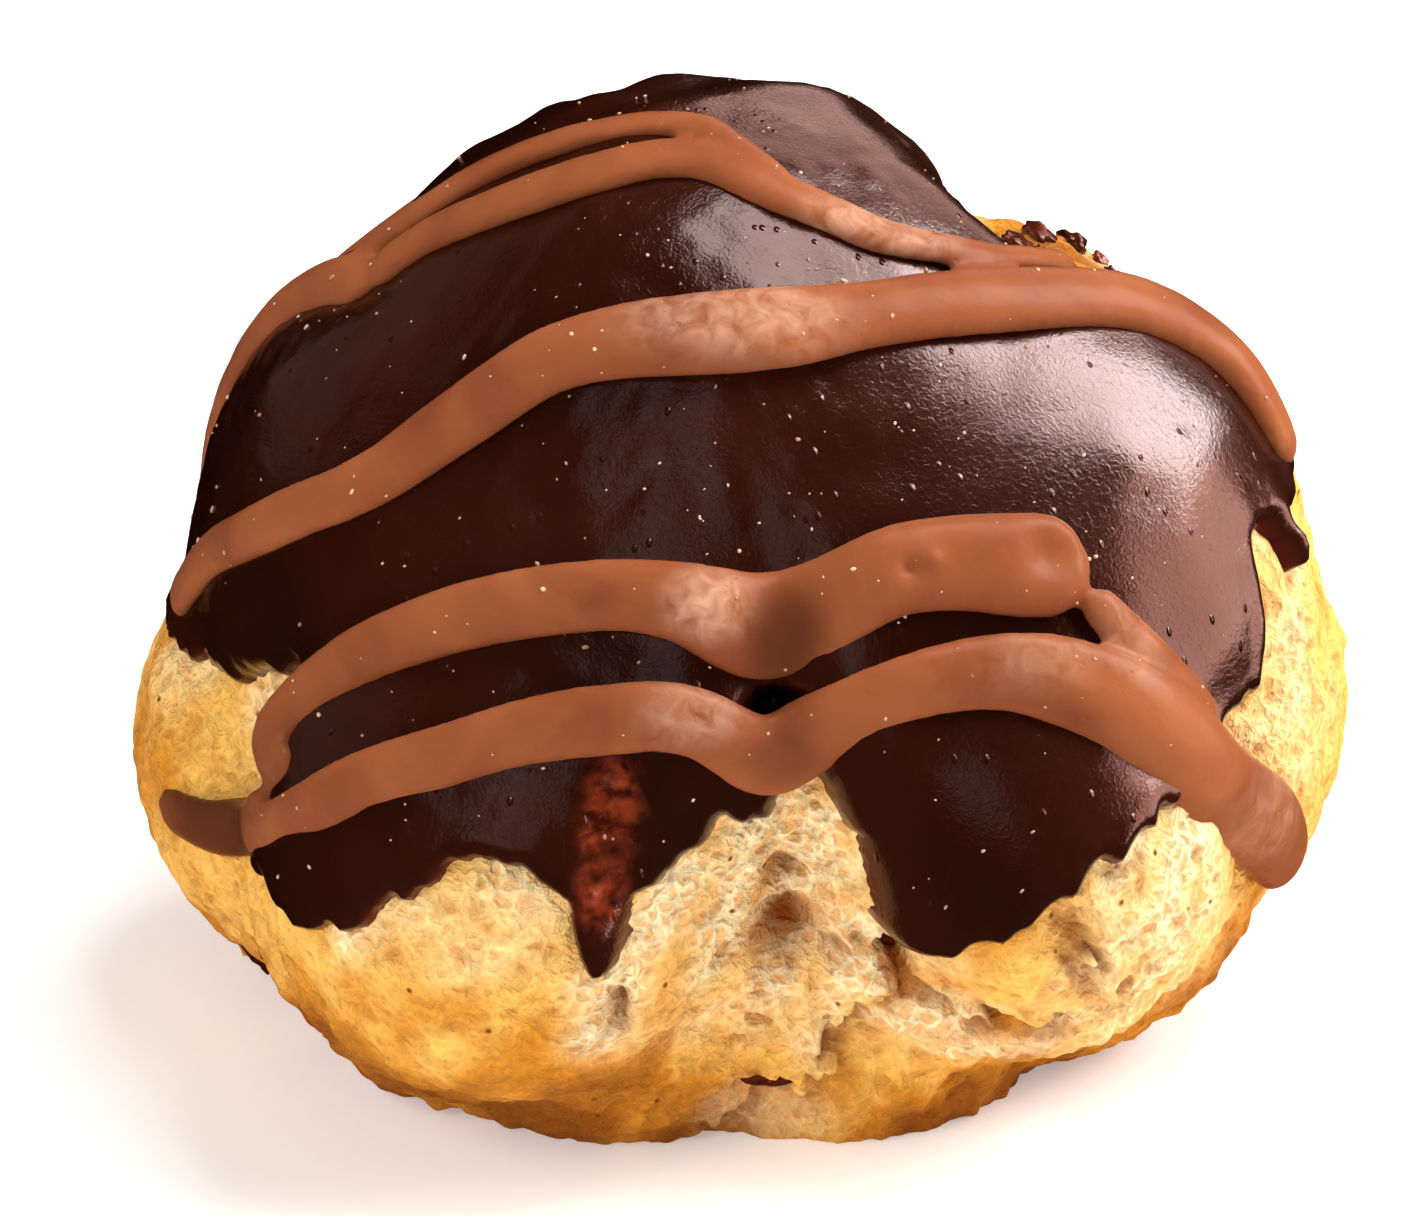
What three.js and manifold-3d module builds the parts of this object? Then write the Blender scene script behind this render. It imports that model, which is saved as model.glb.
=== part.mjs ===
// A profiterole: a lobed bun of choux pastry, dipped in dark chocolate and drizzled with milk chocolate.
// Millimetres, +Z up, the front faces -Y, and the bun stands on its flat foot at z = 0.
// Places on the bun are a bearing, in degrees from the front towards +X, and a height angle,
// in degrees above the level of the bun's middle.

import * as THREE from 'three';
import { mergeVertices } from 'three/addons/utils/BufferGeometryUtils.js';
import Module from 'manifold-3d';

// The bun: a flattened body with swollen lobes, measured from the bun's middle
const BUN_MIDDLE = new THREE.Vector3(0, 0.2, 20);
const BODY = { halfWidth: 26, halfDepth: 25, rise: 19, drop: 22 };
const LOBES = [
  { name: 'crown', at: [-1.3, 0.6, 7.4], radius: 19.2 },
  { name: 'crown right', at: [1.9, 1, 10.4], radius: 12.8 },
  { name: 'bare shoulder', at: [10, 3, 6.8], radius: 13.5 },
  { name: 'left shoulder', at: [-9.4, -1.2, 5.2], radius: 16.5 },
  { name: 'right shoulder', at: [9.9, -0.5, 0], radius: 20 },
  { name: 'front left', at: [-11.2, -15.6, -5.7], radius: 12.6 },
  { name: 'front right', at: [13, -15, -5], radius: 11.6 },
  { name: 'right', at: [18.2, -3, -3.5], radius: 12.9 },
  { name: 'left', at: [-17.8, 0.3, -7.3], radius: 13.4 },
  { name: 'right low', at: [15, -6.6, -9], radius: 11.8 },
  { name: 'front left low', at: [-13.4, -10, -10.5], radius: 11.2 },
  { name: 'foot', at: [4.6, -9.2, -14], radius: 12 },
  { name: 'foot left', at: [-6, -10.8, -13], radius: 11.4 },
  { name: 'back left', at: [-9, 14.5, -5], radius: 13.5 },
  { name: 'back right', at: [9.5, 13, -4], radius: 14 },
  { name: 'back foot', at: [-2, 9, -13], radius: 13 },
  { name: 'right foot', at: [9, 2, -13], radius: 11.5 },
  { name: 'left foot', at: [-11, 1, -13], radius: 11 },
];
const CRUST_BLEND = 0.7;

// Creases and cracks of the crust: bearing, height angle, half width, depth
const CREASES = [
  {
    name: 'front valley',
    route: [
      [3, 36, 3.5, 0.3], [3.8, 24, 3.2, 1.6], [4.2, 15, 2.6, 3.2], [5.5, 5, 3, 2.2], [6, -9, 3.2, 3.2],
      [9.5, -17, 2.4, 1.6],
    ],
  },
  {
    name: 'left crease',
    route: [
      [-54, 12, 1.8, 0.3], [-50, -2, 1.5, 1.3], [-49, -12, 1.5, 1.6], [-52, -36, 1.6, 0.3],
    ],
  },
  {
    name: 'right crack',
    route: [
      [13, -13, 1.6, 1.6], [20, -17.5, 1.4, 2.2], [28, -21, 1.4, 1.6], [52, -19, 1.2, 0.3],
    ],
  },
  {
    name: 'crown notch',
    route: [
      [82, 54, 2.6, 0.4], [94, 59, 3, 1.8], [108, 59, 3.4, 2], [128, 55, 3.4, 1],
    ],
  },
  {
    name: 'shoulder notch',
    route: [
      [-70, 48, 2.5, 0.5], [-86, 46, 2.5, 1.5], [-104, 46, 3, 1.5], [-125, 46, 3, 0.5],
    ],
  },
  {
    name: 'back crack',
    route: [
      [168, 2, 1.8, 0.4], [176, -10, 1.6, 1.8], [-172, -22, 1.6, 1.2], [-160, -28, 1.4, 0.3],
    ],
  },
];
const CRUST_LUMP = { height: 0.25, length: 12, shifts: [1, 2, 3] };
const BUN_DETAIL = 13;

// The dark chocolate coat: a dip line round the bun, with tongues that ran down from it, in degrees
const COAT_THICK = 1;
const COAT_RIM = 0.4;
const COAT_RIM_REACH = 0.08;
const COAT_BLEND = 1.6;
const COAT_FILL = 0.4;
const COAT_GAP = 0.3;
const COAT_SEGMENTS = 110;
const COAT_RINGS = 11;
const COAT_UNDERSIDE = [0.55, 0];
const DIP_LINE = [
  [-180, 9], [-135, 8], [-100, 6], [-90, 1], [-77, 0.8], [-70, 1.4], [-64, 5.3], [-58.5, 5.7],
  [-54.5, 9], [-51, -3], [-47.5, -8], [-42, -9.7], [-36, -8.4], [-31, -4.7], [-27, -1.2], [-22.5, -0.8],
  [-18.5, -2.3], [-16.6, -5], [-9, -5.4], [-4, -3.6], [0, -1.2], [6, 0.4], [9, 0.2], [10.6, 6],
  [11.2, 3.4], [12.4, 0], [14.6, -2], [14.9, -9], [16.2, -12.8], [18.4, -14], [21.8, -11.4], [25, -9.4],
  [29.3, -6.4], [34.3, -2.8], [40, -1.5], [46, 1.3], [54, 2.6], [59, 3.5], [62.5, 4.5], [65, 9],
  [67, 17], [78, 22], [83, 40], [87, 52], [91, 60], [98, 66], [112, 67], [128, 60], [142, 42],
  [160, 16], [180, 9],
];
const DIP_SOFTEN = [-0.8, -0.4, 0, 0.4, 0.8];
const TONGUES = [
  { name: 'long drip', at: -13.6, half: 2.9, drop: 7.2, blunt: 4 },
  { name: 'right drip', at: 70.6, half: 2.8, drop: 5.6, blunt: 4 },
  { name: 'shoulder drip', at: 106, half: 6, drop: 7, blunt: 2 },
  { name: 'shoulder drip back', at: 126, half: 5, drop: 8, blunt: 2 },
  { name: 'back right', at: 160, half: 9, drop: 12, blunt: 2 },
  { name: 'back', at: -168, half: 11, drop: 9, blunt: 4 },
  { name: 'back left', at: -136, half: 10, drop: 12, blunt: 4 },
  { name: 'left back', at: -107, half: 9, drop: 11, blunt: 2 },
];

// The milk chocolate ropes: bearing, height angle, half width
const ROPE_SIDES = 8;
const ROPE_STEP = 2.45;
const ROPE_HEIGHT = 0.56;
const ROPE_LIFT = 0.12;
const ROPE_END = [0, 0.3, 1];
const ROPES = [
  {
    name: 'top strand',
    route: [
      [-88, 45, 1.3], [-86.5, 54, 1.2], [-85, 63.8, 1.1], [-81.9, 70, 1.1], [-76.6, 76, 1.1],
      [-62, 81.4, 1.1], [-30, 83.2, 1.1], [-4, 80.5, 1.1],
    ],
  },
  {
    name: 'crown rope',
    route: [
      [-78, 47, 1.4], [-75, 54.4, 1.4], [-69.7, 60, 1.4], [-62, 66.4, 1.4], [-52.9, 71.8, 1.4],
      [-40, 76.4, 1.4], [-15.4, 78.4, 1.45], [12, 74.4, 1.3], [30.4, 70, 1.2], [41.4, 65.9, 1.15],
      [57.6, 61, 1], [71.2, 56.2, 0.95], [85.7, 49.4, 0.95],
    ],
  },
  {
    name: 'left turn',
    route: [
      [-76, 47.5, 1.5], [-86, 43, 1.8], [-92, 34, 1.6], [-98, 20, 1.4], [-100, 8, 1.3],
    ],
  },
  {
    name: 'brow rope',
    route: [
      [-84, 4, 1.1], [-77.7, 10.1, 1.25], [-73, 14.6, 1.3], [-65.2, 20.2, 1.4], [-56.6, 26.6, 1.5],
      [-52.4, 29.8, 1.6], [-48.3, 33.9, 1.65], [-41.3, 42.2, 1.8], [-32.9, 50.2, 1.95],
      [-20.8, 54.4, 2.25], [-6.9, 56.2, 2.45], [8.5, 57.1, 2.35], [25.5, 57.7, 2], [43.5, 56.4, 1.9],
      [60.9, 52.2, 1.9], [75.9, 45.4, 2], [83, 37.5, 2], [84, 30.5, 1.9], [81, 20, 1.3],
    ],
  },
  {
    name: 'knob rope',
    route: [
      [-46.3, 1.4, 1.4], [-52, 3, 1.5], [-49.5, 8.4, 1.5], [-43.3, 14.7, 1.6], [-35.4, 20, 1.65],
      [-27.9, 23.4, 1.7], [-21.2, 25.4, 1.75], [-14.1, 26.6, 1.85], [-7, 26.3, 2.1], [0.2, 24.3, 2.6],
      [4, 23.8, 2.8], [8, 24.8, 2.6], [13, 26.6, 2.3], [20, 28.6, 2.15], [28, 28.2, 2.35],
      [35, 26.4, 2.75], [43.5, 24, 2.9],
    ],
  },
  {
    name: 'front rope',
    route: [
      [-58, -11, 0.9], [-53.6, -7.4, 1.2], [-50, -5.2, 1.35], [-41.4, 1, 1.6], [-36.9, 4.3, 1.65],
      [-30.1, 8, 1.7], [-24.2, 10.7, 1.75], [-18.7, 12.4, 1.75], [-12.6, 13.6, 1.75], [-8.4, 14.1, 1.8],
      [-4.1, 12.9, 1.9], [2.5, 8.9, 2], [5.5, 9.2, 2], [10, 12.2, 1.85], [16, 15.2, 1.75],
      [22.3, 16.4, 1.8], [28.9, 16.2, 1.85], [34, 14.8, 2.1], [39, 11.8, 2.4], [43.2, 8, 2.6],
      [47.4, 3.4, 2.6], [52.5, -2, 2.5], [60.5, -8.4, 2.4], [68, -15, 2.2], [71, -18, 1.9],
    ],
  },
  {
    name: 'branch',
    route: [
      [41.5, 21.6, 1.1], [42.8, 19.4, 1.15], [45.4, 15, 1.3], [48.6, 9.4, 1.5], [52.5, 3.2, 1.6],
    ],
  },
  {
    name: 'left pull',
    route: [
      [-47.5, -1, 1.4], [-53, -6.5, 1.6], [-60, -10.5, 1.6], [-68, -13.3, 1.5], [-76, -14.5, 1.3],
    ],
  },
  {
    name: 'back high rope',
    route: [
      [-112, 30, 1.4], [-132, 44, 1.8], [-158, 52, 2], [172, 54, 1.9], [148, 52, 1.5],
    ],
  },
  {
    name: 'back low rope',
    route: [
      [-116, 6, 1.5], [-134, 20, 1.9], [-155, 34, 2.1], [178, 38, 2.1], [158, 34, 1.8], [148, 28, 1.4],
    ],
  },
];

// Corners of joined solids that are closer than this become one
const JOIN_TOLERANCE = 0.02;

const wasm = await Module();
wasm.setup();

const degrees = THREE.MathUtils.degToRad;

function towards(bearing, height) {
  const level = Math.cos(degrees(height));
  return new THREE.Vector3(
    level * Math.sin(degrees(bearing)),
    -level * Math.cos(degrees(bearing)),
    Math.sin(degrees(height)),
  );
}

// Smooth routes on the bun, as points on the unit sphere with their sizes beside them
function routeOnBun(route) {
  const places = route.map(([bearing, height]) => towards(bearing, height));
  const sizes = route.map(([, , first, second = 0]) => new THREE.Vector3(first, second, 0));
  const path = new THREE.CatmullRomCurve3(places, false, 'catmullrom');
  const size = new THREE.CatmullRomCurve3(sizes, false, 'catmullrom');
  return (share) => ({ way: path.getPoint(share).normalize(), size: size.getPoint(share) });
}

const CREASE_STEPS = 32;
const creaseSpots = CREASES.flatMap(({ route }) => {
  const at = routeOnBun(route);
  return Array.from({ length: CREASE_STEPS + 1 }, (_, step) => at(step / CREASE_STEPS));
});

function creaseDepth(way) {
  const spread = (BODY.halfWidth + BODY.halfDepth) / 2;
  let depth = 0;
  for (const { way: spot, size } of creaseSpots) {
    const away = way.distanceTo(spot) * spread / size.x;
    depth = Math.max(depth, size.y * Math.exp(-away * away));
  }
  return depth;
}

// How far the body and each lobe reach from the bun's middle, one way
function bodyReach(way) {
  const upright = way.z > 0 ? BODY.rise : BODY.drop;
  return 1 / Math.hypot(way.x / BODY.halfWidth, way.y / BODY.halfDepth, way.z / upright);
}

const NARROW_MISS = 3;
function lobeReach(way, { at, radius }) {
  const middle = new THREE.Vector3(...at);
  const along = way.dot(middle);
  const room = radius * radius - (middle.lengthSq() - along * along);
  return room > 0 ? along + Math.sqrt(room) : along - NARROW_MISS * Math.sqrt(-room);
}

// The lobes run into each other over a blend length, as proved dough does
function doughReach(way, blend) {
  const reaches = [bodyReach(way), ...LOBES.map((lobe) => lobeReach(way, lobe))];
  const most = Math.max(...reaches);
  const sum = reaches.reduce((total, reach) => total + Math.exp((reach - most) / blend), 0);
  return most + blend * Math.log(sum);
}

// Low swellings all over the crust
function crustLump(way) {
  const waves = (2 * Math.PI * BODY.halfWidth) / CRUST_LUMP.length;
  const swell = CRUST_LUMP.shifts.map((shift, axis) => Math.sin(waves * way.getComponent(axis) + shift));
  return CRUST_LUMP.height * swell[0] * swell[1] * swell[2];
}

function bunReach(way) {
  return doughReach(way, CRUST_BLEND) - creaseDepth(way) + crustLump(way);
}

function coatReach(way, thick) {
  const filled = doughReach(way, COAT_BLEND) - (1 - COAT_FILL) * creaseDepth(way);
  return Math.max(filled, bunReach(way) + COAT_GAP) + thick;
}

function onBun(way, reach) {
  return way.clone().multiplyScalar(reach).add(BUN_MIDDLE);
}

// The height angle of the coat's edge at a bearing, softened over the neighbouring bearings
function dipLineAt(bearing) {
  const turned = THREE.MathUtils.euclideanModulo(bearing + 180, 360) - 180;
  const next = Math.max(DIP_LINE.findIndex(([at]) => at >= turned), 1);
  const [fromAt, from] = DIP_LINE[next - 1];
  const [toAt, to] = DIP_LINE[next];
  return THREE.MathUtils.mapLinear(turned, fromAt, toAt, from, to);
}

function dipLine(bearing) {
  const heights = DIP_SOFTEN.map((offset) => dipLineAt(bearing + offset));
  return heights.reduce((sum, height) => sum + height, 0) / heights.length;
}

function coatEdge(bearing) {
  let edge = dipLine(bearing);
  for (const { at, half, drop, blunt } of TONGUES) {
    const away = Math.abs(THREE.MathUtils.euclideanModulo(bearing - at + 180, 360) - 180) / half;
    if (away < 1) edge -= drop * (1 - away ** blunt) ** 2;
  }
  return edge;
}

// Joined and cut solids
function solidOf(geometry) {
  geometry.deleteAttribute('normal');
  geometry.deleteAttribute('uv');
  const merged = mergeVertices(geometry);
  const corners = [];
  const index = merged.index.array;
  for (let i = 0; i < index.length; i += 3) {
    const [a, b, c] = index.slice(i, i + 3);
    if (a !== b && b !== c && c !== a) corners.push(a, b, c);
  }
  return new wasm.Manifold(new wasm.Mesh({
    numProp: 3,
    vertProperties: new Float32Array(merged.attributes.position.array),
    triVerts: new Uint32Array(corners),
    tolerance: JOIN_TOLERANCE,
  }));
}

function geometryOf(solid) {
  const { vertProperties, triVerts } = solid.getMesh();
  const geometry = new THREE.BufferGeometry();
  geometry.setAttribute('position', new THREE.BufferAttribute(vertProperties, 3));
  geometry.setIndex(new THREE.BufferAttribute(triVerts, 1));
  geometry.computeVertexNormals();
  return geometry;
}

function largestBody(solid) {
  return solid.decompose().sort((one, other) => other.volume() - one.volume())[0];
}

// The bun, or the bun grown by a clearance, from a ball whose points move out to the crust
function bunBall(grown) {
  const ball = new THREE.IcosahedronGeometry(1, BUN_DETAIL);
  const points = ball.attributes.position;
  for (let i = 0; i < points.count; i += 1) {
    const way = new THREE.Vector3().fromBufferAttribute(points, i).normalize();
    const point = onBun(way, bunReach(way) + grown);
    points.setXYZ(i, point.x, point.y, point.z);
  }
  return solidOf(ball);
}

function flatFoot() {
  const side = 4 * BODY.halfWidth;
  return solidOf(new THREE.BoxGeometry(side, side, side).translate(0, 0, -side / 2));
}

// The coat before the bun is taken out of it: a turned cap, its rings spread from the top to the edge
function coatCap() {
  const shares = Array.from({ length: COAT_RINGS + 1 }, (_, ring) => ring / COAT_RINGS);
  const profile = [
    ...shares.map((share) => ({ share, deep: false })),
    ...COAT_UNDERSIDE.map((share) => ({ share, deep: true })),
  ];
  const cap = new THREE.LatheGeometry(
    profile.map(({ share, deep }) => new THREE.Vector2(share, deep ? -1 : 0)), COAT_SEGMENTS);
  const points = cap.attributes.position;
  for (let i = 0; i < points.count; i += 1) {
    const { share, deep } = profile[i % profile.length];
    const turn = Math.floor(i / profile.length) % COAT_SEGMENTS;
    const bearing = 180 - (turn * 360) / COAT_SEGMENTS;
    const way = towards(bearing, 90 - share * (90 - coatEdge(bearing)));
    const toRim = Math.min(1, (1 - share) / COAT_RIM_REACH);
    const thick = THREE.MathUtils.lerp(COAT_RIM, COAT_THICK, Math.sqrt(toRim));
    const point = onBun(way, deep ? BODY.rise / 2 : coatReach(way, thick));
    points.setXYZ(i, point.x, point.y, point.z);
  }
  return solidOf(cap);
}

// A rope: a ball drawn out along its route, with round ends, sunk a little into the coat
function rope({ route }) {
  const at = routeOnBun(route);
  const middleAt = (share) => {
    const { way, size } = at(share);
    return { way, half: size.x, point: onBun(way, coatReach(way, COAT_THICK + ROPE_LIFT * size.x)) };
  };
  const tries = 80;
  let length = 0;
  for (let i = 0; i < tries; i += 1) {
    length += middleAt(i / tries).point.distanceTo(middleAt((i + 1) / tries).point);
  }
  const start = ROPE_END.map((part) => (part * middleAt(0).half) / length);
  const finish = ROPE_END.map((part) => 1 - (part * middleAt(1).half) / length).reverse();
  const from = start[start.length - 1];
  const steps = Math.ceil((length * (finish[0] - from)) / ROPE_STEP);
  const shares = [...start];
  for (let i = 1; i < steps; i += 1) shares.push(THREE.MathUtils.lerp(from, finish[0], i / steps));
  shares.push(...finish);
  const ball = new THREE.SphereGeometry(1, ROPE_SIDES, shares.length - 1);
  const points = ball.attributes.position;
  for (let i = 0; i < points.count; i += 1) {
    const share = shares[Math.floor(i / (ROPE_SIDES + 1))];
    const { way, half, point } = middleAt(share);
    const before = middleAt(Math.max(0, share - 1 / tries)).point;
    const after = middleAt(Math.min(1, share + 1 / tries)).point;
    const along = after.sub(before).normalize();
    const up = way.clone().addScaledVector(along, -way.dot(along)).normalize();
    const side = new THREE.Vector3().crossVectors(along, up);
    const toEnd = Math.min(1, (Math.min(share, 1 - share) * length) / half);
    const round = Math.sqrt(1 - (1 - toEnd) ** 2);
    const turn = ((i % (ROPE_SIDES + 1)) % ROPE_SIDES) * (2 * Math.PI / ROPE_SIDES);
    point.addScaledVector(side, half * round * Math.cos(turn));
    point.addScaledVector(up, half * ROPE_HEIGHT * round * Math.sin(turn));
    points.setXYZ(i, point.x, point.y, point.z);
  }
  return solidOf(ball);
}

const chouxSolid = bunBall(0).subtract(flatFoot());
const ropeSolids = ROPES.map(rope);
const dipped = ropeSolids.reduce((joined, next) => joined.add(next), coatCap());
const coatSolid = largestBody(dipped.subtract(bunBall(COAT_GAP)));

const choux = new THREE.Mesh(
  geometryOf(chouxSolid),
  new THREE.MeshStandardMaterial({ color: '#d99c48', roughness: 0.75, metalness: 0 }),
);
choux.name = 'choux_bun';

const coat = new THREE.Mesh(
  geometryOf(coatSolid),
  new THREE.MeshStandardMaterial({ color: '#2b110a', roughness: 0.35, metalness: 0 }),
);
coat.name = 'chocolate_coat';

const profiterole = new THREE.Group();
profiterole.add(choux, coat);

export default profiterole;
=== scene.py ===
# A profiterole: a lobed bun of choux pastry, dipped in dark chocolate and drizzled with milk chocolate.
# Places on it are a bearing, in degrees from the front towards +X, and a height angle above its middle.
import math
import bmesh
import bpy
import numpy as np
from mathutils import Matrix, Vector
from mathutils.bvhtree import BVHTree
from mathutils.kdtree import KDTree


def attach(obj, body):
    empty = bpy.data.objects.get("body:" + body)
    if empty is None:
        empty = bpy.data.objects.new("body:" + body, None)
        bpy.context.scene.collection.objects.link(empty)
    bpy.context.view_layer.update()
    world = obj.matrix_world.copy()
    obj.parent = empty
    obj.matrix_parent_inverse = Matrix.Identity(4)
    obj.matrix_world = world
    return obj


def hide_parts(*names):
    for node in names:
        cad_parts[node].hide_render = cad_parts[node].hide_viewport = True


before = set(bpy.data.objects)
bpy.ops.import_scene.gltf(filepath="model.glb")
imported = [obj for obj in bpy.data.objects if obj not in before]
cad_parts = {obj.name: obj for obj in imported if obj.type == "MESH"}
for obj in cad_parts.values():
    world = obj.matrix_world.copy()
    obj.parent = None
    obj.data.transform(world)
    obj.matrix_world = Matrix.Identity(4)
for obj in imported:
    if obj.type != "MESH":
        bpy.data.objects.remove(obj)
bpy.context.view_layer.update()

# The choux bun
# A hollow puff of choux pastry, egg dough that steam blew up into lobes in the oven.
# Its skin baked golden and browned underneath, and it tore into pale open crumb where the lobes parted.
MM = 0.001
BUN_MIDDLE = np.array([0.0, 0.2, 20.0])
BODY_HALF_WIDTH = 26.0
BODY_HALF_DEPTH = 25.0
BODY_RISE = 19.0
BODY_DROP = 22.0
LOBES = {
    "crown": ((-1.3, 0.6, 7.4), 19.2),
    "crown right": ((1.9, 1, 10.4), 12.8),
    "bare shoulder": ((10, 3, 6.8), 13.5),
    "left shoulder": ((-9.4, -1.2, 5.2), 16.5),
    "right shoulder": ((9.9, -0.5, 0), 20),
    "front left": ((-11.2, -15.6, -5.7), 12.6),
    "front right": ((13, -15, -5), 11.6),
    "right": ((18.2, -3, -3.5), 12.9),
    "left": ((-17.8, 0.3, -7.3), 13.4),
    "right low": ((15, -6.6, -9), 11.8),
    "front left low": ((-13.4, -10, -10.5), 11.2),
    "foot": ((4.6, -9.2, -14), 12),
    "foot left": ((-6, -10.8, -13), 11.4),
    "back left": ((-9, 14.5, -5), 13.5),
    "back right": ((9.5, 13, -4), 14),
    "back foot": ((-2, 9, -13), 13),
    "right foot": ((9, 2, -13), 11.5),
    "left foot": ((-11, 1, -13), 11),
}
MISS_SLOPE = 3.0
CRUST_BLEND = 0.7
MEAN_RADIUS = 25.5
# Creases and cracks: bearing, height angle, half width, depth
CREASES = {
    "front valley": [
        (3, 36, 3.5, 0.3), (3.8, 24, 3.2, 1.6), (4.2, 15, 2.6, 3.2), (5.5, 5, 3, 2.2), (6, -9, 3.2, 3.2),
        (9.5, -17, 2.4, 1.6),
    ],
    "left crease": [(-58, 12, 1.8, 0.3), (-55.5, -2, 1.5, 1.3), (-55.5, -12, 1.5, 1.6), (-57, -36, 1.6, 0.3)],
    "right crack": [(13, -13, 1.6, 1.6), (20, -17.5, 1.4, 2.2), (28, -21, 1.4, 1.6), (52, -19, 1.2, 0.3)],
    "crown notch": [(82, 54, 2.6, 0.4), (94, 59, 3, 1.8), (108, 59, 3.4, 2), (128, 55, 3.4, 1)],
    "shoulder notch": [(-70, 48, 2.5, 0.5), (-86, 46, 2.5, 1.5), (-104, 46, 3, 1.5), (-125, 46, 3, 0.5)],
    "back crack": [(168, 2, 1.8, 0.4), (176, -10, 1.6, 1.8), (-172, -22, 1.6, 1.2), (-160, -28, 1.4, 0.3)],
}
CREASE_SAMPLES = 33
LUMP_HEIGHT = 0.25
LUMP_TURNS = 2 * math.pi * 26 / 12
LUMP_SHIFTS = np.array([1.0, 2.0, 3.0])
# Torn lips of the skin, which stand over what is on their right as the route runs: bearing, height, drop
LIPS = {
    "front left lip": [
        (16.5, -15.5, 0.3), (18.2, -18, 1.2), (16.8, -21.5, 1.4), (14.8, -26.6, 1.3), (11.5, -33, 1.2),
        (8.6, -36, 1.0), (1.4, -40, 0.7), (-5, -44.5, 0.4), (-13, -48, 0.1),
    ][::-1],
    "front right lip": [
        (18.5, -17, 0.3), (20.1, -19.6, 1.2), (23.5, -21.2, 1.4), (27.6, -22.4, 1.4), (32.4, -22.4, 1.1),
        (36, -20.8, 0.8), (42, -19.6, 0.5), (50, -19.5, 0.2),
    ],
    "right flake": [(31.5, -3, 0.2), (33, -7, 0.8), (34.2, -10.5, 1), (36.5, -15.5, 0.9), (38, -19, 0.2)],
    "left lip": [(-53, 2, 0.1), (-52.5, -8, 0.35), (-53, -18, 0.4), (-55, -30, 0.25), (-60, -40, 0.1)],
    "drip lip": [(-13.6, -12.6, 0.2), (-11.4, -15.4, 0.5), (-11, -18.5, 0.6), (-12.2, -21.6, 0.2)],
    "back lip": [(150, -2, 0.2), (160, -14, 0.9), (172, -22, 1.2), (-172, -26, 1), (-158, -26, 0.2)],
    "back left lip": [(-122, 2, 0.2), (-118, -12, 0.8), (-124, -26, 0.8), (-134, -34, 0.2)],
}
LIP_SAMPLES = 70
LIP_EDGE = 0.35
LIP_FADE = 3.0
LIP_RAGGED = 0.32
LIP_WAVES = ((2.4, 21, 1), (1.1, 22, 0.6))
LIP_END = 1.2
LIP_RIM_HEIGHT = 0.22
LIP_RIM_IN = 0.25
LIP_RIM_HALF = 0.45
RECESS_EDGE = 0.3
RECESS_REACH = 1.1
# Open hollows in the crumb: bearing, height, half width, half height, depth
HOLLOWS = {
    "cave": (6, -17.8, 1.9, 1.8, 1.4),
    "upper hollow": (5.2, -9.6, 1.2, 0.9, 0.7),
    "shelf pit": (12.8, -19, 1, 0.7, 0.7),
    "shelf pit right": (14.6, -16.6, 0.9, 0.6, 0.6),
    "crack hole": (18.6, -17.2, 0.75, 0.8, 2.6),
    "crack hole low": (19.3, -19.6, 0.6, 0.7, 2.2),
    "drip pit": (-12.4, -18.4, 0.6, 1.3, 0.6),
    "side pit": (66.6, 12.6, 0.8, 1, 0.5),
    "back hollow": (171, -13, 1.6, 1.3, 1.2),
    "rope hole": (4.9, 13.4, 1.3, 1.1, 4.5),
}
# Where the skin is open crumb: bearing, height, half width, half height, amount
CRUMB_ZONES = {
    "valley": (4, -8, 5.5, 7.5, 1),
    "shelf": (13, -17, 4, 4, 0.9),
    "left tongue foot": (-23, -6, 5, 2.6, 0.4),
    "drip side": (-12.6, -17.5, 2, 3.4, 0.8),
    "lobe shoulder": (-5, -8, 4, 4, 0.7),
    "lower shelf": (8, -27, 6, 3, 0.55),
    "right low": (46, -22, 6, 4, 0.5),
    "foot": (4, -42, 3, 2, 0.4),
    "foot right": (24, -26, 5, 2.4, 0.8),
    "right flank": (42, -8, 4.5, 6, 0.75),
    "right side": (66, 2, 5, 6, 0.45),
    "under left skirt": (-60, -1, 3.6, 3.4, 0.7),
    "bare shoulder": (112, 38, 6, 3, 0.4),
    "back right tear": (140, 20, 7, 6, 0.6),
    "back tear": (172, -14, 5, 6, 0.9),
    "back left tear": (-121, -14, 4, 7, 0.7),
}
# Where the skin browned more: bearing, height, half width, half height, amount
# The cave and under the right lip entries are painted shade, darker brown in those recesses.
BROWNINGS_AND_SHADE = {
    "between the lips": (20.5, -24, 3, 2.4, 0.5),
    "under the right lip": (25, -25, 4, 2, 0.35),
    "left heel": (-50, -30, 5, 6, 0.35),
    "cave": (6, -17.8, 2.6, 2.6, 0.6),
    "foot": (16, -36, 6, 4, -0.5),
    "bare shoulder": (100, 52, 8, 6, 0.9),
    "right dome": (44, -21.7, 8, 5, -0.6),
    "left lobe": (-58, -16, 8, 8, -0.3),
    "front left low": (-20, -34, 9, 4, 0.2),
    "shelf": (8, -27, 6, 4, -0.8),
    "back heel": (160, -30, 8, 6, 0.3),
}
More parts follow.
